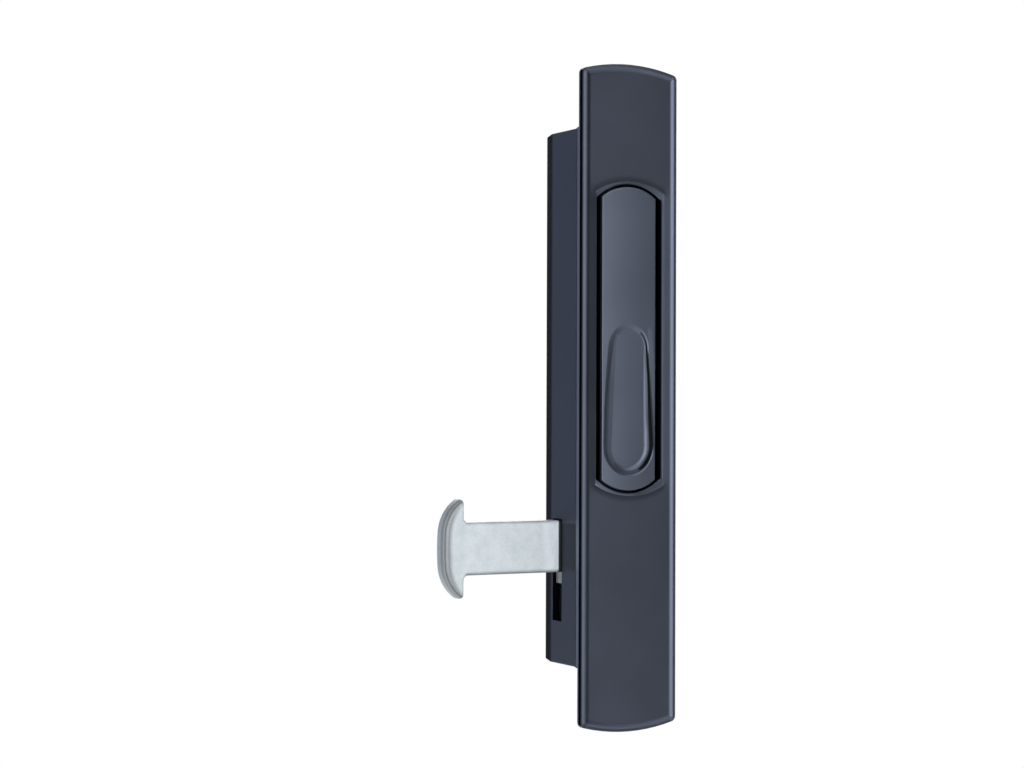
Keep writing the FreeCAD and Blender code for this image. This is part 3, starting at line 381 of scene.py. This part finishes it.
class Shader:
    """A material or world under construction."""

    def __init__(self, owner):
        owner.use_nodes = True
        self.tree = owner.node_tree
        self.tree.nodes.clear()

    def node(self, kind, settings=None, inputs=None, output=0):
        """Adds a node: its settings first, then its socket values and links."""
        made = self.tree.nodes.new(kind)
        for name, value in (settings or {}).items():
            setattr(made, name, value)
        for name, value in (inputs or {}).items():
            feed(self.tree, made.inputs[name], value)
        return Field(self, made.outputs[output]) if made.outputs else None

    def place(self):
        """Object-space position, whole and as three fields, in metres."""
        at = self.node("ShaderNodeTexCoord", output="Object")
        split = self.node("ShaderNodeSeparateXYZ", None, {0: at})
        return at, [Field(self, socket) for socket in split.socket.node.outputs]

    def noise(self, at, scale, detail=3.0, roughness=0.5, stretch=(1.0, 1.0, 1.0)):
        """Noise of that many features a metre, stretched along the axes."""
        moved = self.node("ShaderNodeVectorMath", {"operation": "MULTIPLY"},
                          {0: at, 1: stretch})
        return self.node("ShaderNodeTexNoise", None,
                         {"Vector": moved, "Scale": scale, "Detail": detail,
                          "Roughness": roughness})

    def bump(self, height, distance, strength=1.0, soften=0.0):
        """A normal from a height field; soften rounds the mesh's edges by that radius."""
        inputs = {"Strength": strength, "Distance": distance, "Height": height}
        if soften > 0.0:
            inputs["Normal"] = self.node("ShaderNodeBevel", {"samples": 6}, {"Radius": soften})
        return self.node("ShaderNodeBump", None, inputs)

    def surface(self, inputs, shade=None):
        """The Principled surface, painted black as shade where the shade mask is 1, as the
        material's output.
        """
        body = self.node("ShaderNodeBsdfPrincipled", None, inputs)
        if shade:
            black = self.node("ShaderNodeBsdfDiffuse", None, {"Color": PAINTED_SHADE_BLACK})
            body = self.node("ShaderNodeMixShader", None, {0: shade, 1: body, 2: black})
        self.node("ShaderNodeOutputMaterial", None, {"Surface": body})


def new_material(name):
    """A material, its shader, and the object-space position whole and in parts."""
    material = bpy.data.materials.new(name)
    shader = Shader(material)
    at, parts = shader.place()
    return material, shader, at, parts


def scaled(colour, share):
    return tuple(value * share for value in colour)


def wear(node_name, material):
    """Puts a material on a CAD node's slots, or on a piece's."""
    piece = NODES.get(node_name) or bpy.data.objects[node_name]
    if not piece.material_slots:
        piece.data.materials.append(material)
    for slot in piece.material_slots:
        slot.link = "OBJECT"
        slot.material = material


# Materials

def paint_material(name, paint, colour, metallic, shape=None, tone=None):
    """Smooth metallic paint over a casting: faint orange peel, the casting's own hollows as bumps,
    and painted highlights and shade where a tone is given.
    """
    material, shader, at, (x, y, z) = new_material(name)
    cloud = shader.noise(at, PAINT_CLOUD)
    peel = shader.noise(at, ORANGE_PEEL, 2.0)
    grain = shader.noise(at, PAINT_GRAIN, 2.0, 0.6)
    height = (peel * 0.7 + grain * 0.3) * (paint.peel * MM)
    base = cloud.ramp(0.3, 0.7).blend(scaled(colour, 0.95), scaled(colour, 1.05))
    shade = None
    if shape:
        height = height + shape(x, y, z)
        # Painted highlights and shade scale the base colour; the painted shade mask mixes in black
        painted_level, shade = tone(x, y, z)
        base = base.dimmed(painted_level)
    shader.surface({
        "Base Color": base,
        "Metallic": metallic,
        "Roughness": cloud.around(grain.around(paint.roughness, 0.06), 0.05),
        "Normal": shader.bump(height, 1.0, 1.0, 0.12 * MM),
    }, shade)
    return material


def casting_shape(x, y, z):
    """The face sinks slightly towards the opening, more on the left than on the right."""
    beside = abs(z - OPENING_MIDDLE).ramp(*FALL_ALONG)
    slope = FALL_SLOPE - x.ramp(*FALL_RIGHT) * FALL_LESS_RIGHT
    fall = abs(x).most(FALL_INNER).least(FALL_OUTER) - FALL_OUTER
    return fall * slope * beside * y.ramp(*CAST_FRONT)


def casting_painted_shade(x, y, z):
    """Painted shade on the casting, black where it is 1: inside, on the plate's edge, beside the bar
    and on the taper.
    """
    across = abs(x)
    from_middle = abs(z - OPENING_MIDDLE)
    wall = across.ramp(*WALL_ACROSS) * y.ramp(*WALL_DEPTH)
    deep = across.ramp(*DEEP_ACROSS) * y.ramp(*DEEP_DEPTH)
    sooner = x.ramp(*SOONER_ACROSS) * from_middle.ramp(*SOONER_ALONG) * SOONER_BY
    inside = wall.most(deep) * abs(z).ramp(*INSIDE_ALONG) * (y + sooner).ramp(*THROAT_DEPTH)
    edge = across.ramp(*EDGE_ACROSS) * y.band(*EDGE_DEPTH)
    beside_bar = ((-x).ramp(*BESIDE_BAR_ACROSS) * y.band(*BESIDE_BAR_DEPTH)
                  * z.band(*BESIDE_BAR_ALONG))
    taper = y.ramp(*TAPER_DEPTH) * across.ramp(*TAPER_ACROSS)
    return inside.most(edge).most(beside_bar * 0.52).most(taper * 0.55)


def casting_painted_light(x, y, z):
    """Painted highlights and shade of the casting, and the mask of its black painted shade."""
    across = abs(x)
    along = abs(z)
    from_middle = abs(z - OPENING_MIDDLE)
    front = y.ramp(*CAST_FRONT)

    plate_back_highlight = across.ramp(*PLATE_BACK_ACROSS) * y.band(*PLATE_BACK_DEPTH)
    taper = y.ramp(*TAPER_DEPTH) * across.ramp(*TAPER_ACROSS)
    left_rim_shade = (-x).band(*LEFT_RIM) * front
    right_rim_highlight = x.band(*RIGHT_RIM) * front
    from_end = PLATE_END - x * x / (2 * PLATE_ARC) - along
    within = across.ramp(*WITHIN_RIMS) * front
    crest = from_end.band(*CREST_FROM_END) * within
    brink = from_end.ramp(*BRINK_FROM_END) * within

    out = from_middle - MOUTH_ARC_CENTRE
    from_mouth = (x * x + out * out) ** 0.5 - MOUTH_ARC
    hollow = (from_mouth.band(*HOLLOW_FROM_MOUTH) * from_middle.ramp(*HOLLOW_ALONG) * front
              * across.ramp(*HOLLOW_ACROSS))
    lip = y.band(*LIP_DEPTH) * from_middle.band(*LIP_ALONG) * across.ramp(*LIP_ACROSS)
    foot_lip = lip * z.ramp(*FOOT_ALONG)
    # Painted highlights: plate's back, right rim, crests, lip and the lip's left foot; painted
    # shade: taper, left rim, brinks, the hollow by the mouth and the lip's right foot
    tone = painted_light_factor((plate_back_highlight, 2.6), (taper, 0.50), (left_rim_shade, 0.65), (right_rim_highlight, 1.45),
                 (crest, 1.65), (brink, 0.75), (hollow, 0.62),
                 (lip * x.ramp(*LIP_LEFT), 1.7), (foot_lip * x.ramp(*FOOT_LEFT), 1.45),
                 (foot_lip * x.ramp(*FOOT_FAR_LEFT), 1.7),
                 (foot_lip * x.ramp(*FOOT_RIGHT), 0.6))
    return tone, casting_painted_shade(x, y, z)


def lever_shape(x, y, z):
    """The front's crown is a little flatter; the scoop's floor is crowned."""
    flatter = CROWN_EASE / (LEVER_HALF * LEVER_HALF)
    return x * x * (y.ramp(*LEVER_FACING) * (flatter + FLOOR_CROWN) - FLOOR_CROWN)


def lever_painted_light(x, y, z):
    """Painted highlights and shade of the lever, and the mask of its side walls painted black as
    shade.
    """
    walls = abs(x).ramp(*SIDE_ACROSS) * y.ramp(*SIDE_DEPTH)
    edge = (-x).ramp(*EDGE_LINE)
    depth = (SCOOP_DEPTH - z * SCOOP_FALL).most(SCOOP_LEAST_DEPTH)
    sunk = (y - LEVER_FRONT) / depth
    along = z.band(*SCOOP_ALONG)
    low = z.ramp(*LOWER_SCOOP)
    left = (-x).ramp(*LEFT_WALL_ACROSS) * along * sunk.band(*LEFT_WALL_SUNK)
    past = x - (SCOOP_RIGHT - z * SCOOP_FLARE - z * z * SCOOP_BOW)
    past_brink = past - (low * BRINK_OUT_LOW + BRINK_OUT)
    right = x.ramp(*RIGHT_WALL_ACROSS) * past_brink.ramp(*BRINK_INSIDE) * along
    core = z.band(*RIGHT_WALL_ALONG).most(sunk.ramp(*RIGHT_ARC_SUNK))
    dark = right * sunk.ramp(*RIGHT_WALL_SUNK) * core
    cove_dimmed = right * sunk.band(*COVE_SUNK) * z.ramp(*COVE_ALONG)
    strip_highlight = past_brink.band(*STRIP_PAST_BRINK) * along * (1.0 - low)
    # Painted shade dims the left edge, blackens the scoop's right wall and dims its cove; painted
    # highlights lift the left wall and the strip past the brink
    tone = painted_light_factor((edge, 0.85), (left, 1.75), (dark, 0.05), (cove_dimmed, 0.5), (strip_highlight, 1.4))
    return tone, walls


def bolt_painted_light(x, y, z):
    """Painted light and shade on the bolt: the bar beside the case painted lighter, its last part in
    the slot painted dark as shade, the head and its highlights painted darker, and the bar's edges
    painted darker.
    """
    head = x.ramp(*HEAD_ACROSS)
    bar = x.ramp(*BAR_ACROSS)
    off_middle = abs(z - BOLT_MIDDLE)
    flat = off_middle.least(HEAD_FLAT)
    shoulder = (off_middle - HEAD_FLAT).most(0.0)
    from_end = (x - HEAD_END - flat * flat * HEAD_ARC - shoulder * shoulder * SHOULDER_ARC
                - shoulder * SHOULDER_SLOPE)
    facing = y.ramp(*HEAD_FACING)
    return painted_light_factor((x.ramp(*NEAR_CASE), 1.65), (head, 0.96), (head * y.band(*RIM_DEPTH), 0.64),
                 (from_end.ramp(*BROW_FROM_END) * facing, 0.58),
                 (from_end.ramp(*RIDGE_FROM_END) * facing, 0.68),
                 (x.ramp(*IN_SLOT) * z.ramp(*ABOVE_FOOT), 0.03),
                 (bar * z.ramp(*BAR_LOWER_EDGE), 0.40), (bar * z.ramp(*BAR_UPPER_EDGE), 0.72))


def zinc_material(name, zinc):
    """Clear zinc plating on stamped steel: soft mottling and fine rolling marks, with painted
    highlights and shade on the bolt.
    """
    material, shader, at, (x, y, z) = new_material(name)
    mottle = shader.noise(at, ZINC_MOTTLE, 4.0, 0.6)
    blotch = shader.noise(at, ZINC_BLOTCH, 2.0)
    pits = shader.noise(at, ZINC_PITS, 3.0, 0.7)
    drawn = shader.noise(at, ZINC_DRAWN, 2.0, 0.5, ROLLED)
    speckle = shader.noise(at, ZINC_SPECKLE, 2.0, 0.6)
    spangle = (speckle * 0.42 + mottle * 0.38 + blotch * 0.2).ramp(0.39, 0.61)
    base = spangle.blend(tuple(zinc.dark), tuple(zinc.light))
    shader.surface({
        "Base Color": base.dimmed(bolt_painted_light(x, y, z)),
        "Metallic": zinc.metallic,
        "Roughness": pits.around(mottle.around(zinc.roughness, 0.16), 0.1),
        "Normal": shader.bump(pits * 0.55 + mottle * 0.3 + drawn * 0.15, 0.03 * MM, 0.45,
                              0.15 * MM),
    })
    return material


def metal_material(name, colour, roughness, stretch=(1.0, 1.0, 1.0)):
    """Plain machined or plated metal with fine marks along one direction."""
    material, shader, at, parts = new_material(name)
    marks = shader.noise(at, METAL_MARKS, 3.0, 0.6, stretch)
    stain = shader.noise(at, METAL_STAIN)
    shader.surface({
        "Base Color": stain.ramp(0.35, 0.65).blend(scaled(colour, 0.86), colour),
        "Metallic": 1.0,
        "Roughness": stain.around(marks.around(roughness, 0.14), 0.08),
        "Normal": shader.bump(marks, 0.006 * MM, 0.5, 0.08 * MM),
    })
    return material


def cast_material(name, colour):
    """As-cast, tumbled zinc alloy: matt skin with a fine pebble."""
    material, shader, at, parts = new_material(name)
    skin = shader.noise(at, CAST_SKIN, 4.0, 0.65)
    flow = shader.noise(at, CAST_FLOW)
    shader.surface({
        "Base Color": flow.ramp(0.3, 0.7).blend(scaled(colour, 0.8), colour),
        "Metallic": 0.85,
        "Roughness": skin.around(0.5, 0.2),
        "Normal": shader.bump(skin, 0.03 * MM, 0.5, 0.12 * MM),
    })
    return material


def rubber_material(name):
    """Black rubber with a fine matt skin."""
    material, shader, at, parts = new_material(name)
    skin = shader.noise(at, RUBBER_SKIN, 3.0, 0.6)
    shader.surface({
        "Base Color": skin.ramp(0.3, 0.7).blend(RUBBER_DARK, RUBBER_LIGHT),
        "Roughness": skin.around(0.62, 0.2),
        "Normal": shader.bump(skin, 0.02 * MM, 0.4),
    })
    return material


def acetal_material(name):
    """White slippery plastic with faint flow marks."""
    material, shader, at, parts = new_material(name)
    flow = shader.noise(at, ACETAL_FLOW)
    grain = shader.noise(at, ACETAL_GRAIN, 2.0)
    shader.surface({
        "Base Color": flow.ramp(0.3, 0.7).blend(ACETAL_DARK, ACETAL_LIGHT),
        "Roughness": grain.around(0.42, 0.12),
        "Subsurface Weight": 0.1,
        "Normal": shader.bump(grain, 0.008 * MM, 0.4, 0.1 * MM),
    })
    return material


# Settings

class PaintSettings(PropertyGroup):
    """The dark grey paint of the casting and the lever."""
    casting: FloatVectorProperty(name="Casting colour", description="Paint on plate and case",
                                 subtype="COLOR", size=3, default=(0.0475, 0.0547, 0.0745))
    lever: FloatVectorProperty(name="Lever colour", description="Paint on the lever",
                               subtype="COLOR", size=3, default=(0.076, 0.088, 0.118))
    cover: FloatVectorProperty(name="Cover colour", description="Paint on the rear cover",
                               subtype="COLOR", size=3, default=(0.075, 0.084, 0.105))
    casting_metal: FloatProperty(name="Casting's metallic share", description="Plate and case",
                                 default=0.9, min=0.0, max=1.0)
    cover_metal: FloatProperty(name="Cover's metallic share", description="Rear cover",
                               default=0.5, min=0.0, max=1.0)
    lever_metal: FloatProperty(name="Lever's metallic share", description="Tilting lever",
                               default=0.8, min=0.0, max=1.0)
    roughness: FloatProperty(name="Roughness", description="Gloss of the paint", default=0.42,
                             min=0.0, max=1.0)
    peel: FloatProperty(name="Orange peel", description="Height of the peel in millimetres",
                        default=0.004, min=0.0, max=0.1)


class ZincSettings(PropertyGroup):
    """Clear zinc plating of the bolt."""
    light: FloatVectorProperty(name="Light tone", description="Lighter zinc", subtype="COLOR",
                               size=3, default=(0.452, 0.490, 0.511))
    dark: FloatVectorProperty(name="Dark tone", description="Darker zinc", subtype="COLOR",
                              size=3, default=(0.376, 0.414, 0.434))
    metallic: FloatProperty(name="Metallic", description="Share of metal reflection",
                            default=0.4, min=0.0, max=1.0)
    roughness: FloatProperty(name="Roughness", description="Softness of the plating",
                             default=0.45, min=0.0, max=1.0)


class ThreadSettings(PropertyGroup):
    """The thread inside the fixing posts."""
    core: FloatProperty(name="Bore radius", description="Radius of the threaded bore", unit="LENGTH",
                        default=1.65 * MM)
    root: FloatProperty(name="Root", description="How far the ridge's root is in the bore's wall",
                        unit="LENGTH", default=0.02 * MM)
    ridge: FloatProperty(name="Ridge height", description="Height of the thread's ridge",
                         unit="LENGTH", default=0.16 * MM)
    pitch: FloatProperty(name="Pitch", description="Distance between turns", unit="LENGTH",
                         default=0.7 * MM)
    turns: IntProperty(name="Turns", description="Number of turns", default=14, min=1)
    steps: IntProperty(name="Steps a turn", description="Steps in each turn", default=40, min=8)
    mouth: FloatProperty(name="Mouth inset", description="First turn's depth in the bore",
                         unit="LENGTH", default=0.5 * MM)


class SpringSettings(PropertyGroup):
    """The spring that lifts the bolt's carriage."""
    wire: FloatProperty(name="Wire", description="Diameter of the wire", unit="LENGTH",
                        default=0.7 * MM)
    turns: IntProperty(name="Turns", description="All turns, the closed ones too", default=9, min=3)
    closed: FloatProperty(name="Closed turns", description="Closed turns at each end", default=1.0)
    steps: IntProperty(name="Steps a turn", description="Steps in each turn", default=36, min=8)
    sides: IntProperty(name="Wire's sides", description="Sides of the wire's section", default=10,
                       min=5)
    travel: FloatProperty(name="Travel", description="How far the bolt presses it down",
                          unit="LENGTH", default=11.5 * MM)


class StageSettings(PropertyGroup):
    """Floor, light and camera."""
    floor_drop: FloatProperty(name="Floor drop", description="Floor below the frame's origin",
                              unit="LENGTH", default=0.30)
    floor_radius: FloatProperty(name="Floor radius", description="Radius of the floor",
                                unit="LENGTH", default=1.0)
    floor_sides: IntProperty(name="Floor sides", description="Sides of the round floor",
                             default=96, min=12)
    ambient: FloatProperty(name="Ambient", description="Level of the room's light", default=0.06)
    lens: FloatProperty(name="Lens", description="Focal length in millimetres on a 36 mm frame",
                        default=73.91)
    camera_at: FloatVectorProperty(name="Camera place", description="Camera position",
                                   subtype="XYZ", unit="LENGTH", size=3,
                                   default=(-0.26719, -0.43038, -0.00322))
    swing: FloatProperty(name="Camera swing", description="View direction, turned from +Y to +X",
                         subtype="ANGLE", default=math.radians(28.735))
    pitch: FloatProperty(name="Camera pitch", description="View direction above the horizon",
                         subtype="ANGLE", default=math.radians(0.721))
    roll: FloatProperty(name="Camera roll", description="Turn about the view direction",
                        subtype="ANGLE", default=math.radians(0.191))


class DoorHandleSettings(PropertyGroup):
    """All settings of the door handle's dressing."""
    paint: PointerProperty(type=PaintSettings, name="Paint", description="Dark grey paint")
    zinc: PointerProperty(type=ZincSettings, name="Zinc", description="Clear zinc plating")
    thread: PointerProperty(type=ThreadSettings, name="Thread", description="Post threads")
    spring: PointerProperty(type=SpringSettings, name="Spring", description="Return spring")
    stage: PointerProperty(type=StageSettings, name="Stage", description="Floor, light, camera")


def settings():
    return bpy.context.scene.door_handle


# Pieces and operators

class DOORHANDLE_OT_casting(Operator):
    """Paints the face plate with its case, and the rear cover"""
    bl_idname = "doorhandle.casting"
    bl_label = "Paint the casting"

    def execute(self, context):
        paint = settings().paint
        wear("body_casting", paint_material("casting_paint", paint, tuple(paint.casting),
                                            paint.casting_metal, casting_shape, casting_painted_light))
        wear("rear_cover", paint_material("cover_paint", paint, tuple(paint.cover),
                                          paint.cover_metal))
        return {"FINISHED"}


class DOORHANDLE_OT_lever(Operator):
    """Paints the tilting lever"""
    bl_idname = "doorhandle.lever"
    bl_label = "Paint the lever"

    def execute(self, context):
        paint = settings().paint
        wear("tilt_lever", paint_material("lever_paint", paint, tuple(paint.lever),
                                          paint.lever_metal, lever_shape, lever_painted_light))
        return {"FINISHED"}


class DOORHANDLE_OT_bolt(Operator):
    """Plates the hammer-head bolt with zinc"""
    bl_idname = "doorhandle.bolt"
    bl_label = "Plate the bolt"

    def execute(self, context):
        wear("t_bolt", zinc_material("zinc_plating", settings().zinc))
        return {"FINISHED"}


class DOORHANDLE_OT_mechanism(Operator):
    """Gives the pieces inside the case their metals, plastic and rubber"""
    bl_idname = "doorhandle.mechanism"
    bl_label = "Dress the mechanism"

    def execute(self, context):
        ground = metal_material("ground_steel", GROUND_STEEL, 0.24, UPRIGHT)
        cross = metal_material("ground_pin", GROUND_STEEL, 0.24, SIDEWAYS)
        sheet = metal_material("plated_sheet", PLATED_SHEET, 0.36, SIDEWAYS)
        bronze = metal_material("sintered_bronze", BRONZE, 0.42)
        carriage = cast_material("cast_carriage", TUMBLED_ZINC)
        rubber = rubber_material("black_rubber")
        acetal = acetal_material("white_acetal")
        dress = {
            "guide_rods": ground, "spring_guide_pin": ground,
            "pivot_pin": cross, "cam_shoe_pin": cross,
            "pivot_bridge": sheet, "bolt_clamp_plate": sheet, "spring_seat": sheet,
            "lever_bushes": bronze, "bolt_carriage": carriage,
            "carriage_buffers": rubber, "lever_pads": rubber, "cam_shoe": acetal,
        }
        for node, material in dress.items():
            wear(node, material)
        return {"FINISHED"}


class DOORHANDLE_OT_fasteners(Operator):
    """Plates the screws and the fixing posts"""
    bl_idname = "doorhandle.fasteners"
    bl_label = "Plate the fasteners"

    def execute(self, context):
        screws = metal_material("screw_zinc", SCREW_ZINC, 0.30)
        posts = metal_material("post_zinc", POST_ZINC, 0.28, FORE_AND_AFT)
        for node in ("cover_screws", "pivot_bridge_screws", "bolt_clamp_screws"):
            wear(node, screws)
        for node in ("upper_fixing_post", "lower_fixing_post"):
            wear(node, posts)
        return {"FINISHED"}


def swept_piece(name, rings, smooth=False):
    """A solid through rings of corners, closed at both ends, whose sides may be smooth."""
    shape = bmesh.new()
    before = None
    for ring in rings:
        corners = [shape.verts.new(point) for point in ring]
        if before:
            for index, corner in enumerate(corners):
                after = (index + 1) % len(corners)
                shape.faces.new((before[index], before[after], corners[after], corner))
        else:
            shape.faces.new(corners)
        before = corners
    shape.faces.new(list(reversed(before)))
    bmesh.ops.recalc_face_normals(shape, faces=shape.faces)
    for face in shape.faces:
        face.smooth = smooth and len(face.verts) == 4
    mesh = bpy.data.meshes.new(name)
    shape.to_mesh(mesh)
    shape.free()
    piece = bpy.data.objects.new(name, mesh)
    bpy.context.scene.collection.objects.link(piece)
    return piece


def thread_rings(thread, centre, mouth_y):
    """Sections of a helical ridge inside a post's bore, which fades at both ends."""
    wall = thread.core + thread.root
    for step in range(thread.turns * thread.steps + 1):
        turns = step / thread.steps
        y = mouth_y - thread.mouth - thread.pitch * turns
        out = Vector((math.cos(TURN * turns), 0.0, math.sin(TURN * turns)))
        fade = min(1.0, turns * 2, (thread.turns - turns) * 2)
        crest = thread.core - thread.ridge * fade
        profile = ((wall, -THREAD_FOOT), (crest, -THREAD_CREST),
                   (crest, THREAD_CREST), (wall, THREAD_FOOT))
        yield [Vector((centre.x, y + shift * thread.pitch, centre.z)) + out * radius
               for radius, shift in profile]


class DOORHANDLE_OT_threads(Operator):
    """Winds the threads' ridges inside the fixing posts' bores"""
    bl_idname = "doorhandle.threads"
    bl_label = "Add the posts' threads"

    def execute(self, context):
        material = metal_material("thread_zinc", THREAD_ZINC, 0.34)
        for node in ("upper_fixing_post", "lower_fixing_post"):
            low, high = (Vector(corner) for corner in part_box(node))
            rings = thread_rings(settings().thread, (low + high) / 2, high.y)
            piece = swept_piece(node + "_thread", rings)
            wear(piece.name, material)
            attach(piece, "case")
        return {"FINISHED"}


def spring_rings(spring, low, high):
    """Sections of a compression spring with closed ends that fills the box of two corners."""
    radius = (high.x - low.x - spring.wire) / 2
    centre = (low + high) / 2
    lift = high.z - low.z - spring.wire
    open_pitch = (lift - 2 * spring.closed * spring.wire) / (spring.turns - 2 * spring.closed)
    for step in range(spring.turns * spring.steps + 1):
        turns = step / spring.steps
        closed = min(turns, spring.closed) + max(turns - (spring.turns - spring.closed), 0.0)
        z = low.z + spring.wire / 2 + closed * spring.wire + (turns - closed) * open_pitch
        out = Vector((math.cos(TURN * turns), math.sin(TURN * turns), 0.0))
        middle = Vector((centre.x, centre.y, z)) + out * radius
        ring = []
        for side in range(spring.sides):
            angle = TURN * side / spring.sides
            reach = out * math.cos(angle) + Vector((0.0, 0.0, math.sin(angle)))
            ring.append(middle + reach * spring.wire / 2)
        yield ring


class DOORHANDLE_OT_spring(Operator):
    """Winds the return spring with closed ends, fixed to the case as wound"""
    bl_idname = "doorhandle.spring"
    bl_label = "Wind the spring"

    def execute(self, context):
        spring = settings().spring
        low, high = (Vector(corner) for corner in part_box("return_spring"))
        piece = swept_piece("coil_spring", spring_rings(spring, low, high), smooth=True)
        wear(piece.name, metal_material("spring_wire", SPRING_STEEL, 0.30))
        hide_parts("return_spring")
        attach(piece, "case")
        tuple(low)
        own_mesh(piece)
        return {"FINISHED"}


def look_matrix(stage):
    """The camera's place and turn, from the view direction's swing and pitch, then its roll."""
    ahead = Vector((math.sin(stage.swing) * math.cos(stage.pitch),
                    math.cos(stage.swing) * math.cos(stage.pitch),
                    math.sin(stage.pitch)))
    right = Vector((math.cos(stage.swing), -math.sin(stage.swing), 0.0))
    up = right.cross(ahead)
    turned_right = math.cos(stage.roll) * right + math.sin(stage.roll) * up
    turned_up = -math.sin(stage.roll) * right + math.cos(stage.roll) * up
    turn = Matrix((turned_right, turned_up, -ahead)).transposed()
    return Matrix.Translation(stage.camera_at) @ turn.to_4x4()


def soft_box(name, azimuth, elevation, distance, width, height, radiance, colour):
    """A rectangular lamp that looks at the object's middle."""
    lamp = bpy.data.lights.new(name, "AREA")
    lamp.shape = "RECTANGLE"
    lamp.size = width
    lamp.size_y = height
    lamp.energy = radiance * math.pi * width * height
    lamp.color = colour
    turn = math.radians(azimuth)
    rise = math.radians(elevation)
    way = Vector((-math.sin(turn) * math.cos(rise), -math.cos(turn) * math.cos(rise),
                  math.sin(rise)))
    piece = bpy.data.objects.new(name, lamp)
    piece.location = way * distance
    piece.rotation_euler = way.to_track_quat("Z", "Y").to_euler()
    piece.visible_camera = False
    bpy.context.scene.collection.objects.link(piece)


def floor_material(radius):
    """Pale floor that turns into the white background towards its rim."""
    material, shader, at, (x, y, z) = new_material("pale_floor")
    start, end = FLOOR_FADE
    far = ((x * x + y * y) ** 0.5).ramp(radius * start, radius * end)
    fibre = shader.noise(at, FLOOR_FIBRE)
    plain = shader.node("ShaderNodeBsdfDiffuse", None,
                        {"Color": fibre.blend(FLOOR_DARK, FLOOR_LIGHT)})
    glow = shader.node("ShaderNodeEmission", None, {"Color": WHITE, "Strength": 1.0})
    mixed = shader.node("ShaderNodeMixShader", None, {0: far, 1: plain, 2: glow})
    shader.node("ShaderNodeOutputMaterial", None, {"Surface": mixed})
    return material


def add_floor(stage):
    """A round floor below the object."""
    shape = bmesh.new()
    bmesh.ops.create_circle(shape, cap_ends=True, segments=stage.floor_sides,
                            radius=stage.floor_radius)
    mesh = bpy.data.meshes.new("floor")
    shape.to_mesh(mesh)
    shape.free()
    floor = bpy.data.objects.new("floor", mesh)
    floor.location.z = -stage.floor_drop
    bpy.context.scene.collection.objects.link(floor)
    floor.data.materials.append(floor_material(stage.floor_radius))
    floor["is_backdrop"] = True


def add_room(stage):
    """A world that is white to the camera and a faint, cool light to the object."""
    world = bpy.data.worlds.new("studio")
    bpy.context.scene.world = world
    shader = Shader(world)
    seen = shader.node("ShaderNodeLightPath", output="Is Camera Ray")
    room = shader.node("ShaderNodeBackground", None,
                       {"Color": seen.blend(ROOM, WHITE),
                        "Strength": seen + (1.0 - seen) * stage.ambient})
    shader.node("ShaderNodeOutputWorld", None, {"Surface": room})


def add_camera(stage):
    """A camera at the stage's place, with the sensor that the lens is given for."""
    lens = bpy.data.cameras.new("camera")
    lens.sensor_width = SENSOR_WIDTH
    lens.lens = stage.lens
    lens.clip_start = 0.01
    lens.clip_end = 50.0
    camera = bpy.data.objects.new("camera", lens)
    camera.matrix_world = look_matrix(stage)
    bpy.context.scene.collection.objects.link(camera)
    bpy.context.scene.camera = camera


class DOORHANDLE_OT_stage(Operator):
    """Adds the floor, the soft light, the white background and the camera"""
    bl_idname = "doorhandle.stage"
    bl_label = "Set the stage"

    def execute(self, context):
        stage = settings().stage
        add_floor(stage)
        add_room(stage)
        for box in SOFT_BOXES:
            soft_box(*box)
        add_camera(stage)
        context.scene.view_settings.view_transform = "Standard"
        return {"FINISHED"}


class DOORHANDLE_PT_panel(Panel):
    """Door handle dressing steps and their settings"""
    bl_idname = "DOORHANDLE_PT_panel"
    bl_label = "Door handle"
    bl_space_type = "VIEW_3D"
    bl_region_type = "UI"
    bl_category = "Door handle"

    def draw(self, context):
        layout = self.layout
        values = settings()
        for group in (values.paint, values.zinc, values.thread, values.spring, values.stage):
            box = layout.box()
            for name in group.__annotations__:
                box.prop(group, name)
        for step in STEPS:
            layout.operator(step.bl_idname)


STEPS = (
    DOORHANDLE_OT_casting,
    DOORHANDLE_OT_lever,
    DOORHANDLE_OT_bolt,
    DOORHANDLE_OT_mechanism,
    DOORHANDLE_OT_fasteners,
    DOORHANDLE_OT_threads,
    DOORHANDLE_OT_spring,
    DOORHANDLE_OT_stage,
)
CLASSES = (PaintSettings, ZincSettings, ThreadSettings, SpringSettings, StageSettings,
           DoorHandleSettings) + STEPS + (DOORHANDLE_PT_panel,)


def register():
    for item in CLASSES:
        bpy.utils.register_class(item)
    bpy.types.Scene.door_handle = PointerProperty(
        type=DoorHandleSettings, name="Door handle", description="Settings of the dressing")


def unregister():
    del bpy.types.Scene.door_handle
    for item in reversed(CLASSES):
        bpy.utils.unregister_class(item)


def plain(corners):
    return [[float(value) for value in corner] for corner in corners]


def main():
    register()
    for step in STEPS:
        group, name = step.bl_idname.split(".")
        getattr(getattr(bpy.ops, group), name)()
    {"cad": plain(CAD_BOX), "visual": plain(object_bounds())}


if __name__ == "__main__":
    main()
